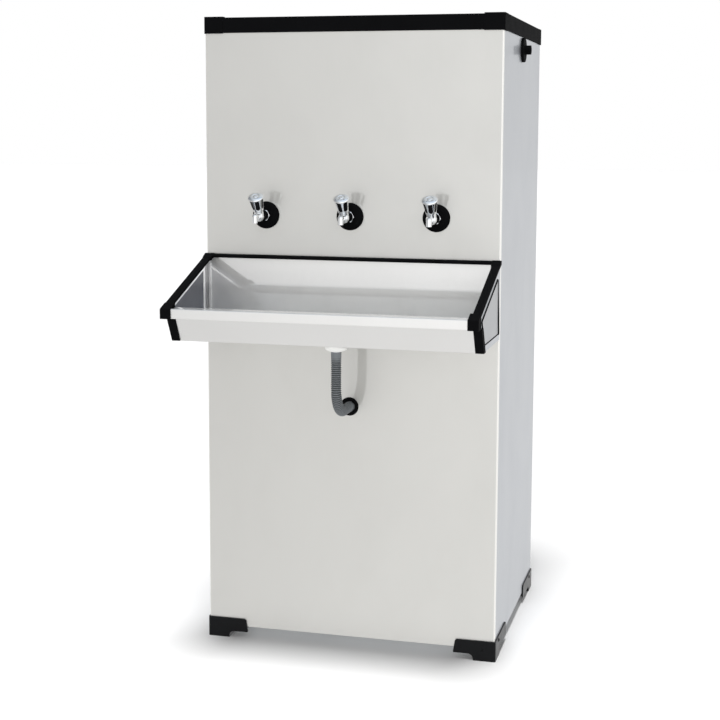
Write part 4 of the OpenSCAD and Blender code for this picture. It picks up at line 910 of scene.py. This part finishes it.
@dataclass
class DrainHose:
    """Ribbed hose that hangs from the basin's drain and turns back into the cabinet."""

    top: Pair = (0.112, 0.704)
    corner: Pair = (0.112, 0.563)
    end: Pair = (-0.023, 0.563)
    bend: float = 0.060
    radius: float = 0.0115
    bore: float = 0.0085
    rib_depth: float = 0.0016
    rib_power: float = 1.4
    ribs: int = 54
    cuff: float = 0.004
    cuff_fade: float = 0.024
    cuff_share: float = 0.1
    samples: int = 10
    sides: int = 40
    path_points: int = 36

    def centreline(self, count: int) -> tuple[Array, Array, float]:
        """Straight, arc and straight at a steady step.

        The arc is tangent to both straights. A point past the first straight has turned by its run
        over the bend radius, up to the whole turn.

        Args:
            count: Number of points.

        Returns:
            Points as (reach, height), directions, and the whole length.
        """
        a, b, c = (np.array(p) for p in (self.top, self.corner, self.end))
        into, out = (b - a) / np.linalg.norm(b - a), (c - b) / np.linalg.norm(c - b)
        turn = math.acos(float(into @ out))
        cut = self.bend * math.tan(turn / 2)
        first, last = np.linalg.norm(b - a) - cut, np.linalg.norm(c - b) - cut
        length = first + self.bend * turn + last
        s = np.linspace(0.0, length, count)
        side = np.array([into[1], -into[0]])
        side = side if side @ out > 0 else -side
        angle = np.clip((s - first) / self.bend, 0.0, turn)[:, None]
        before = np.clip(s, 0.0, first)[:, None]
        after = np.clip(s - first - self.bend * turn, 0.0, None)[:, None]
        swing = self.bend * (np.sin(angle) * into + (1.0 - np.cos(angle)) * side)
        return a + before * into + swing + after * out, np.cos(angle) * into + np.sin(angle) * side, length

    def build(self) -> Piece:
        """Carries ringed ribs along the centreline.

        The outer radius is the hose's less the rib depth times one less a raised cosine of the run over
        the pitch, and the cuff at the top keeps a small share of that depth. The bore closes the skin at
        both ends.

        Returns:
            The hose.
        """
        rows = self.ribs * self.samples + 1
        points, heading, length = self.centreline(rows)
        s = np.linspace(0.0, length, rows)
        wave = (0.5 - 0.5 * np.cos(2 * np.pi * s * self.ribs / length)) ** self.rib_power
        ribbed = smoothstep(s, self.cuff, self.cuff + self.cuff_fade)
        groove = (1.0 - wave) * (self.cuff_share + (1.0 - self.cuff_share) * ribbed)
        outer = self.tube(points, heading, self.radius - self.rib_depth * groove)
        inner = self.tube(points, heading, np.full(rows, self.bore))[::-(self.samples // 2)]
        mask = np.concatenate([groove, np.ones(len(inner))])[:, None] * np.ones(self.sides)
        hose = Mesher.build("ribbed_hose", [np.concatenate([outer, inner])], True, 75.0, {"groove": mask})
        route, _heading, _length = self.centreline(self.path_points)
        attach(hose, Body.CABINET.value)
        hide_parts("drain_hose")
        return hose

    def tube(self, points: Array, heading: Array, radii: Array) -> Array:
        """Rings of points square to a line in the plane x = 0.

        Args:
            points: Points of the line, as (reach, height).
            heading: Its directions.
            radii: Radius at each point.

        Returns:
            A grid of points, one row for each ring.
        """
        angle = full_turn(self.sides)
        across = np.stack([heading[:, 1], -heading[:, 0]], axis=1)
        plane = points[:, None, :] + (radii[:, None] * np.sin(angle))[..., None] * across[:, None, :]
        x = radii[:, None] * np.cos(angle)
        return np.stack([x, FRONT_Y - plane[..., 0], plane[..., 1]], axis=-1)


@dataclass
class TapHandle:
    """Flared tap handle with flutes, a domed top, a ring and a small button."""

    side: str
    body: Body
    turn: float
    foot_r: float = 0.012
    top_r: float = 0.0175
    length: float = 0.038
    rise: float = 0.016637
    bore: float = 0.00508
    bore_depth: float = 0.0215
    bore_rows: int = 4
    step: float = 0.0004
    rounding: float = 0.0012
    flutes: int = 6
    flute_r: float = 0.013
    flute_depth: float = 0.0024
    flute_foot: Pair = (0.10, 0.26)
    flute_top: Pair = (0.68, 0.84)
    flute_blur: float = 0.0009
    columns: int = 180

    def outline(self) -> Array:
        """Profile of the handle from the end of its bore, round the foot and up to the top.

        Returns:
            Points as (radius, height).
        """
        f, t, h = self.foot_r, self.top_r, self.length
        skin = [
            (self.bore, 0.0), (f - 0.001, 0.0), (f, 0.001), (f, 0.004), (t - 0.0016, h * 0.82),
            (t, h * 0.86), (t, h * 0.89), (t - 0.0012, h * 0.93), (t * 0.7, h * 0.972),
            (t * 0.46, h * 0.985), (t * 0.43, h * 0.965), (t * 0.3, h * 0.965), (t * 0.27, h * 0.99),
            (t * 0.1, h), (0.0, h),
        ]
        return np.concatenate([
            np.array([(0.0, self.bore_depth), (self.bore, self.bore_depth), (self.bore, 0.0003)]),
            rounded_profile(skin, self.step, self.rounding),
            np.array([(0.0, h)]),
        ])

    def build(self, joint: dict) -> Piece:
        """Turns the outline about the joint's axis and sinks the flutes into it.

        A flute is a round groove whose centre lies outside the outline. At an angle from the flute's
        middle the groove's radius is the nearer root of the circle, and the handle keeps the smaller
        of the two radii. The groove fades out below the dome and above the foot.

        Args:
            joint: The record's joint of this tap.

        Returns:
            The handle.
        """
        profile = self.outline()
        r, z = profile[:, :1], profile[:, 1:]
        share = z / self.length
        angle = full_turn(self.columns)[None, :]
        pitch = 2 * np.pi / self.flutes
        apart = np.mod(angle, pitch) - pitch / 2
        fade = np.sqrt(np.clip(1.0 - smoothstep(share, *self.flute_top) ** 2, 0.0, 1.0))
        centre = r + self.flute_r - self.flute_depth * smoothstep(share, *self.flute_foot) * fade
        inside = np.clip(self.flute_r ** 2 - (centre * np.sin(apart)) ** 2, 0.0, None)
        groove = np.where(inside > 0, centre * np.cos(apart) - np.sqrt(inside), r)
        outside = (np.arange(len(profile)) >= self.bore_rows)[:, None]
        radius = np.where(outside, np.minimum(r, groove), r)
        flute = np.clip((r - radius) / self.flute_blur, 0.0, 1.0)
        heading = angle - np.pi / 2 + math.radians(self.turn)
        height = z + self.rise + 0 * angle
        local = np.stack([radius * np.cos(heading), radius * np.sin(heading), height], axis=-1)
        axis = np.array(joint["axis"], float)
        across_x = np.array([1.0, 0.0, 0.0])
        basis = np.stack([across_x, np.cross(axis, across_x), axis])
        grid = local @ basis + np.array(joint["pos_m"], float)
        handle = Mesher.build(f"{self.side}_fluted_handle", [grid], False, 50.0, {"flute": flute})
        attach(handle, self.body.value)
        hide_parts(f"{self.side}_tap_handle")
        return handle


@dataclass
class CrossHeadScrews:
    """Pan-head screws with a cross recess, made together for one CAD node."""

    name: str
    node: str
    slot: Slot
    places: list[Place]
    axes: list[Place]
    head_r: float = 0.0042
    head_h: float = 0.0024
    rim: float = 0.93
    fall: float = 0.55
    shank_r: float = 0.002
    shank: float = 0.006
    arm: float = 0.0024
    arm_end: float = 0.85
    arm_half: float = 0.00055
    arm_walls: Pair = (0.7, 1.3)
    recess: float = 0.0013
    middle_r: float = 0.0003
    rings: int = 18
    columns: int = 48

    def build(self) -> Piece:
        """Sinks a cross into each domed head.

        The head's height falls with the square of the distance from the axis. Inside either arm of the
        cross, which has sloping walls and ends, it drops by the recess.

        Returns:
            All the screws as one object.
        """
        rings = np.linspace(self.middle_r, self.head_r * self.rim, self.rings)
        ring = np.concatenate([[0.0], rings, [self.head_r]])[:, None]
        angle = full_turn(self.columns)
        x, y = ring * np.cos(angle), ring * np.sin(angle)
        dome = self.head_h * (1.0 - self.fall * (ring / self.head_r) ** 2)
        narrow, along = np.minimum(np.abs(x), np.abs(y)), np.maximum(np.abs(x), np.abs(y))
        inside = 1 - smoothstep(narrow, *(self.arm_half * wall for wall in self.arm_walls))
        cross = inside * (1 - smoothstep(along, self.arm * self.arm_end, self.arm))
        head = np.stack([x, y, dome - self.recess * cross], axis=-1)
        skirt = np.array([
            (self.head_r, 0.0), (self.shank_r, 0.0), (self.shank_r, -self.shank), (0.0, -self.shank),
        ])
        r, h = skirt[:, :1], skirt[:, 1:]
        under = np.stack([r * np.cos(angle), r * np.sin(angle), h + 0 * angle], axis=-1)
        shape = np.concatenate([head, under])
        grids = [self.turned(shape, np.array(axis)) + place for place, axis in zip(self.places, self.axes)]
        made = Mesher.build(self.name, grids, False, 35.0)
        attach(made, Body.CABINET.value)
        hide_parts(self.node)
        return made

    @staticmethod
    def turned(shape: Array, axis: Array) -> Array:
        """The shape with its Z along a level axis; Z cross the axis is its first side."""
        first = np.cross([0.0, 0.0, 1.0], axis)
        return shape @ np.stack([first, np.cross(axis, first), axis])


@dataclass
class CoverShadeStrips:
    """Dark half-round strips in the joint round the inset covers on the basin's ends: painted shade of that
    joint.
    """

    outline: tuple[Pair, ...] = ((0.021, 0.745), (0.1926, 0.745), (0.2244, 0.7952), (0.033, 0.86156))
    face: float = HALF_W
    half_width: float = 0.0017
    proud: float = 0.0022
    rear_proud: float = 0.0034
    rear_run: float = 0.012
    corner: float = 0.004
    step: float = 0.0015
    section_points: int = 9

    def build(self) -> Piece:
        """Carries a half-round section round each cover's outline.

        The outline is sampled evenly and averaged, which rounds its corners. At each sample the section
        stands square to the outline's direction, on the face of the end plate, and it is proudest along
        the rear edge.

        Returns:
            Both strips as one object.
        """
        line = sampled(np.array(self.outline + self.outline[:1]), self.step, closed=True)
        half = int(self.corner / self.step / 2)
        line = np.mean([np.roll(line, shift, axis=0) for shift in range(-half, half + 1)], axis=0)
        ahead = np.roll(line, -1, axis=0) - np.roll(line, 1, axis=0)
        ahead = ahead / np.linalg.norm(ahead, axis=1, keepdims=True)
        outwards = np.stack([ahead[:, 1], -ahead[:, 0]], axis=1)
        arc = np.linspace(0.0, np.pi, self.section_points)
        offset = (1.0 + np.cos(arc)) * self.half_width
        plane = line[:, None, :] + outwards[:, None, :] * offset[None, :, None]
        rear = self.outline[0][0]
        ahead_of_rear = smoothstep(line[:, 0], rear, rear + self.rear_run)
        proud = self.rear_proud + (self.proud - self.rear_proud) * ahead_of_rear
        height = proud[:, None] * np.sin(arc)
        grids = [
            np.stack([side * (self.face + height), FRONT_Y - plane[..., 0], plane[..., 1]], axis=-1)
            for side in (-1.0, 1.0)
        ]
        made = Mesher.build("end_cover_shade_strips", grids, True, 60.0)
        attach(made, Body.CABINET.value)
        return made


@dataclass
class EndRails:
    """Slim black trims along the sloping upper edges of the basin's end plates."""

    inner_x: float = 0.322
    outer_x: float = 0.340
    start: float = 0.022
    stop: float = 0.247
    thick: float = 0.0062
    bevel: float = 0.0014
    bevel_bow: float = 0.3
    rows: int = 24

    def build(self) -> Piece:
        """Carries a bevelled strip's section down each slope.

        A section's points keep their distance across and below the line of the slope, whose height falls
        by the rake times the reach. The first and last rows shrink to a point, which closes the ends.

        Returns:
            Both trims as one object.
        """
        a, b, t, e = self.inner_x, self.outer_x, self.thick, self.bevel
        bow = self.bevel_bow * e
        section = np.array([
            (a, -t), (a, -e), (a + bow, -bow), (a + e, 0.0), (b - e, 0.0), (b - bow, -bow), (b, -e), (b, -t),
        ])
        reach = np.linspace(self.start, self.stop, self.rows)
        reach = np.concatenate([reach[:1], reach, reach[-1:]])[:, None]
        centre = section.mean(axis=0)
        kept = np.ones(len(reach))
        kept[[0, -1]] = 0.0
        points = centre + kept[:, None, None] * (section - centre)
        height = BASIN_BACK_Z - BASIN_RAKE * reach + points[..., 1]
        depth = FRONT_Y - reach + 0.0 * height
        grids = [np.stack([side * points[..., 0], depth, height], axis=-1) for side in (-1.0, 1.0)]
        made = Mesher.build("slim_end_rails", grids, False, 30.0)
        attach(made, Body.CABINET.value)
        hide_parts("basin_side_rails")
        return made


@dataclass(frozen=True)
class Lamp:
    """Sun lamp that shines from a place to an aim, and that metal doesn't mirror."""

    name: str
    place: Place
    aim: Place
    energy: float
    spread: float
    colour: Rgb = WHITE

    def build(self) -> Piece:
        """Adds the lamp, which shines along its own negative Z.

        Returns:
            The lamp.
        """
        data = bpy.data.lights.new(self.name, "SUN")
        data.energy, data.color, data.angle = self.energy, self.colour, math.radians(self.spread)
        made = add_object(self.name, data)
        back = Vector(self.place) - Vector(self.aim)
        made.matrix_world = Matrix.LocRotScale(Vector(self.place), back.to_track_quat("Z", "Y"), None)
        made.visible_glossy = False
        return made


LAMPS = (
    Lamp("key", (-0.1, -2.8, 4.0), (0.0, 0.1, 0.6), 0.15, 50.0, (1.0, 0.99, 0.97)),
    Lamp("overhead", (0.12, -0.86, 4.0), (0.0, 0.0, 0.0), 2.75, 13.0),
    Lamp("fill", (0.4, -4.0, 0.5), (0.0, 0.0, 0.0), 1.75, 40.0),
)
MIRRORED_SKY: tuple[tuple[float, Rgb], ...] = (
    (0.10, WHITE), (0.32, (0.98, 0.98, 0.99)), (0.58, (0.78, 0.80, 0.83)), (0.76, (0.62, 0.66, 0.71)),
    (0.90, (0.82, 0.89, 0.96)), (1.0, (0.50, 0.57, 0.66)),
)


@dataclass
class Studio:
    """Camera, floor, world and lamps of a plain pale studio."""

    position: Place = (0.8339, -3.2592, 1.1805)
    yaw: float = 14.655
    pitch: float = 6.786
    roll: float = 0.236
    lens: float = 72.47
    sensor: float = 36.0
    shift_y: float = -0.08
    floor_half: float = 40.0
    floor_tone: Rgb = (0.86, 0.86, 0.86)
    floor_glow: float = 0.03
    near_x: Pair = (-1.4, 0.3)
    near_light: Pair = (0.66, 0.95)
    far_bearing: Pair = (-0.60, 0.0)
    far_light: Pair = (0.26, 1.49)
    far_y: Pair = (-1.5, -7.0)
    mirrored_share: float = 0.7
    ambient: Rgb = (0.24, 0.24, 0.2424)
    behind_y: Pair = (-0.2, 0.6)
    behind_light: Pair = (1.0, 0.68)
    beside_x: Pair = (-0.60, 0.0)
    beside_light: Pair = (0.50, 1.34)

    def camera(self) -> Piece:
        """Places the camera at the photographed angle; its axes come from yaw, pitch and roll.

        Returns:
            The camera.
        """
        yaw, pitch, roll = (math.radians(v) for v in (self.yaw, self.pitch, self.roll))
        ahead = np.array([
            -math.sin(yaw) * math.cos(pitch), math.cos(yaw) * math.cos(pitch), -math.sin(pitch),
        ])
        right = np.array([math.cos(yaw), math.sin(yaw), 0.0])
        up = np.cross(right, ahead)
        turned = math.cos(roll) * right + math.sin(roll) * up
        raised = math.cos(roll) * up - math.sin(roll) * right
        data = bpy.data.cameras.new("camera")
        data.lens, data.sensor_width, data.sensor_fit = self.lens, self.sensor, "AUTO"
        data.shift_y = self.shift_y
        matrix = np.eye(4)
        matrix[:3, :3] = np.stack([turned, raised, -ahead], axis=1)
        matrix[:3, 3] = self.position
        made = add_object("camera", data)
        made.matrix_world = Matrix(matrix.tolist())
        bpy.context.scene.camera = made
        return made

    def floor(self) -> Piece:
        """Lays a wide pale floor that glows a little; metal mirrors it plainer than it is lit.

        Near the object its mirrored light rises with X, and far in front of it with the bearing.

        Returns:
            The floor.
        """
        s = self.floor_half
        mesh = bpy.data.meshes.new("floor")
        mesh.from_pydata([(-s, -s, 0), (s, -s, 0), (s, s, 0), (-s, s, 0)], [], [(0, 1, 2, 3)])
        material = bpy.data.materials.new("pale_floor")
        material.use_nodes = True
        material.node_tree.nodes.clear()
        graph = Graph(material.node_tree)
        matt = graph.add("ShaderNodeBsdfDiffuse", {"Color": self.floor_tone}).outputs[0]
        glow = graph.add("ShaderNodeEmission", {"Strength": self.floor_glow}).outputs[0]
        lit = graph.add("ShaderNodeAddShader", {0: matt, 1: glow}).outputs[0]
        x, y, _z = graph.axes()
        near = graph.span(x, *self.near_x, *self.near_light)
        bearing = graph.math("DIVIDE", x, graph.math("SUBTRACT", 1.0, y))
        far = graph.span(bearing, *self.far_bearing, *self.far_light)
        strength = graph.plus(near, graph.span(y, *self.far_y), graph.math("SUBTRACT", far, near))
        mirrored = graph.add("ShaderNodeEmission", {"Strength": strength}).outputs[0]
        path = graph.add("ShaderNodeLightPath")
        share = graph.math("MULTIPLY", path.outputs["Is Glossy Ray"], self.mirrored_share)
        seen = graph.add("ShaderNodeMixShader", {0: share, 1: lit, 2: mirrored}).outputs[0]
        graph.add("ShaderNodeOutputMaterial", {"Surface": seen})
        mesh.materials.append(material)
        made = add_object("floor", mesh)
        return made

    def world(self) -> None:
        """Lights the scene: white for the camera, a pale horizon under a greyer ceiling for mirrors."""
        world = bpy.data.worlds.new("studio")
        bpy.context.scene.world = world
        world.use_nodes = True
        world.node_tree.nodes.clear()
        graph = Graph(world.node_tree)
        path = graph.add("ShaderNodeLightPath").outputs
        heading = graph.add("ShaderNodeTexCoord").outputs["Generated"]
        x, y, z = graph.add("ShaderNodeSeparateXYZ", {"Vector": heading}).outputs
        ramp = graph.add("ShaderNodeValToRGB", {"Fac": z})
        stops = ramp.color_ramp.elements
        stops.remove(stops[1])
        stops[0].position, stops[0].color = MIRRORED_SKY[0][0], (*MIRRORED_SKY[0][1], 1.0)
        for where, tone in MIRRORED_SKY[1:]:
            stops.new(where).color = (*tone, 1.0)
        behind = graph.span(y, *self.behind_y, *self.behind_light)
        beside = graph.span(x, *self.beside_x, *self.beside_light)
        level = graph.math("MULTIPLY", behind, beside)
        sky = graph.add(
            "ShaderNodeVectorMath", {0: ramp.outputs["Color"], "Scale": level}, operation="SCALE"
        ).outputs[0]
        mirrored = graph.mix(path["Is Glossy Ray"], self.ambient, sky)
        clear = graph.math("ADD", path["Is Camera Ray"], path["Is Transmission Ray"], clamp=True)
        tone = graph.mix(clear, mirrored, WHITE)
        background = graph.add("ShaderNodeBackground", {"Color": tone, "Strength": 1.0}).outputs[0]
        graph.add("ShaderNodeOutputWorld", {"Surface": background})

    def build(self) -> None:
        """Builds the floor, the world and the lamps."""
        bpy.context.scene.view_settings.view_transform = "Standard"
        self.floor()
        self.world()
        for lamp in LAMPS:
            lamp.build()


@dataclass
class Cooler:
    """The whole cooler: its CAD nodes with their finishes, and the new pieces."""

    frame: dict
    effects: Effects = field(default_factory=Effects)
    handle_turns: tuple[float, float, float] = (-8.0, 17.0, -17.0)
    lower_screws_z: tuple[float, float, int] = (0.060, 0.454, 3)
    upper_screws_z: tuple[float, float, int] = (0.486, 1.3737, 5)
    rear_screws_x: float = 0.330
    foot_screws_x: float = HALF_W + 0.003
    foot_screws_y: Pair = (-0.118, 0.367)
    foot_screws_z: float = 0.037

    def dress(self, piece: Piece, material: Material) -> None:
        """Gives a piece one material.

        Args:
            piece: The piece.
            material: Its material.
        """
        piece.data.materials.clear()
        piece.data.materials.append(material)
        LOG.info("dressed %s with %s", piece.name, material.name)

    def dress_nodes(self) -> dict[Slot, Material]:
        """Gives every CAD node the finish of its slot, or its own.

        Returns:
            The materials by slot.
        """
        materials = {slot: finish.material(self.effects) for slot, finish in FINISHES.items()}
        tray, ends, covers, feet = (
            finish.material(self.effects) for finish in (BASIN_TRAY, BASIN_ENDS, END_COVERS, FOOT_PLASTIC)
        )
        special = {"basin_tray": tray, "basin_end_covers": covers}
        for side in ("left", "right"):
            special[f"basin_{side}_end"] = ends
            special[f"front_{side}_foot"] = special[f"rear_{side}_foot"] = feet
        for row in self.frame["record"]["subparts"]:
            node = row["node"]
            self.dress(self.frame["nodes"][node], special.get(node, materials[Slot(row["material_slot"])]))
        return materials

    def handles(self) -> list[Piece]:
        """Builds the tap handles about their joints.

        Returns:
            The three handles.
        """
        joints = {joint["name"]: joint for joint in self.frame["joints"]}
        bodies = (Body.LEFT_HANDLE, Body.MIDDLE_HANDLE, Body.RIGHT_HANDLE)
        sides = ("left", "middle", "right")
        return [
            TapHandle(side, body, turn).build(joints[f"{side}_tap_turn"])
            for side, body, turn in zip(sides, bodies, self.handle_turns)
        ]

    def rear_screws(self) -> Piece:
        """Builds the screws of the rear panels, which point backwards.

        Returns:
            The screws.
        """
        heights = [*np.linspace(*self.lower_screws_z), *np.linspace(*self.upper_screws_z)]
        places = [(side * self.rear_screws_x, REAR_Y, z) for side in (-1, 1) for z in heights]
        axes = [(0.0, 1.0, 0.0)] * len(places)
        return CrossHeadScrews("rear_panel_screws", "panel_screws", Slot.GALVANISED, places, axes).build()

    def foot_screws(self) -> Piece:
        """Builds the screws of the feet, which point sideways.

        Returns:
            The screws.
        """
        sides = [(side, y) for side in (-1, 1) for y in self.foot_screws_y]
        places = [(side * self.foot_screws_x, y, self.foot_screws_z) for side, y in sides]
        axes = [(float(side), 0.0, 0.0) for side, _y in sides]
        return CrossHeadScrews("foot_cross_screws", "foot_screws", Slot.BLACK_METAL, places, axes).build()


def main() -> None:
    """Builds the studio, dresses the CAD nodes and adds the new pieces."""
    logging.basicConfig(level=logging.INFO, format="%(message)s")
    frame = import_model()
    studio = Studio()
    studio.camera()
    cooler = Cooler(frame)
    hose = DrainHose().build()
    materials = cooler.dress_nodes()
    cooler.dress(hose, materials[Slot.HOSE])
    fluted = FLUTED_CHROME.material(cooler.effects)
    for handle in cooler.handles():
        cooler.dress(handle, fluted)
    cooler.dress(cooler.rear_screws(), ZINC_SCREW.material(cooler.effects))
    cooler.dress(cooler.foot_screws(), materials[Slot.BLACK_METAL])
    # Dark strips of painted shade round the end covers.
    cooler.dress(CoverShadeStrips().build(), materials[Slot.RUBBER])
    cooler.dress(EndRails().build(), materials[Slot.BLACK_TRIM])
    studio.build()


if __name__ == "__main__":
    main()
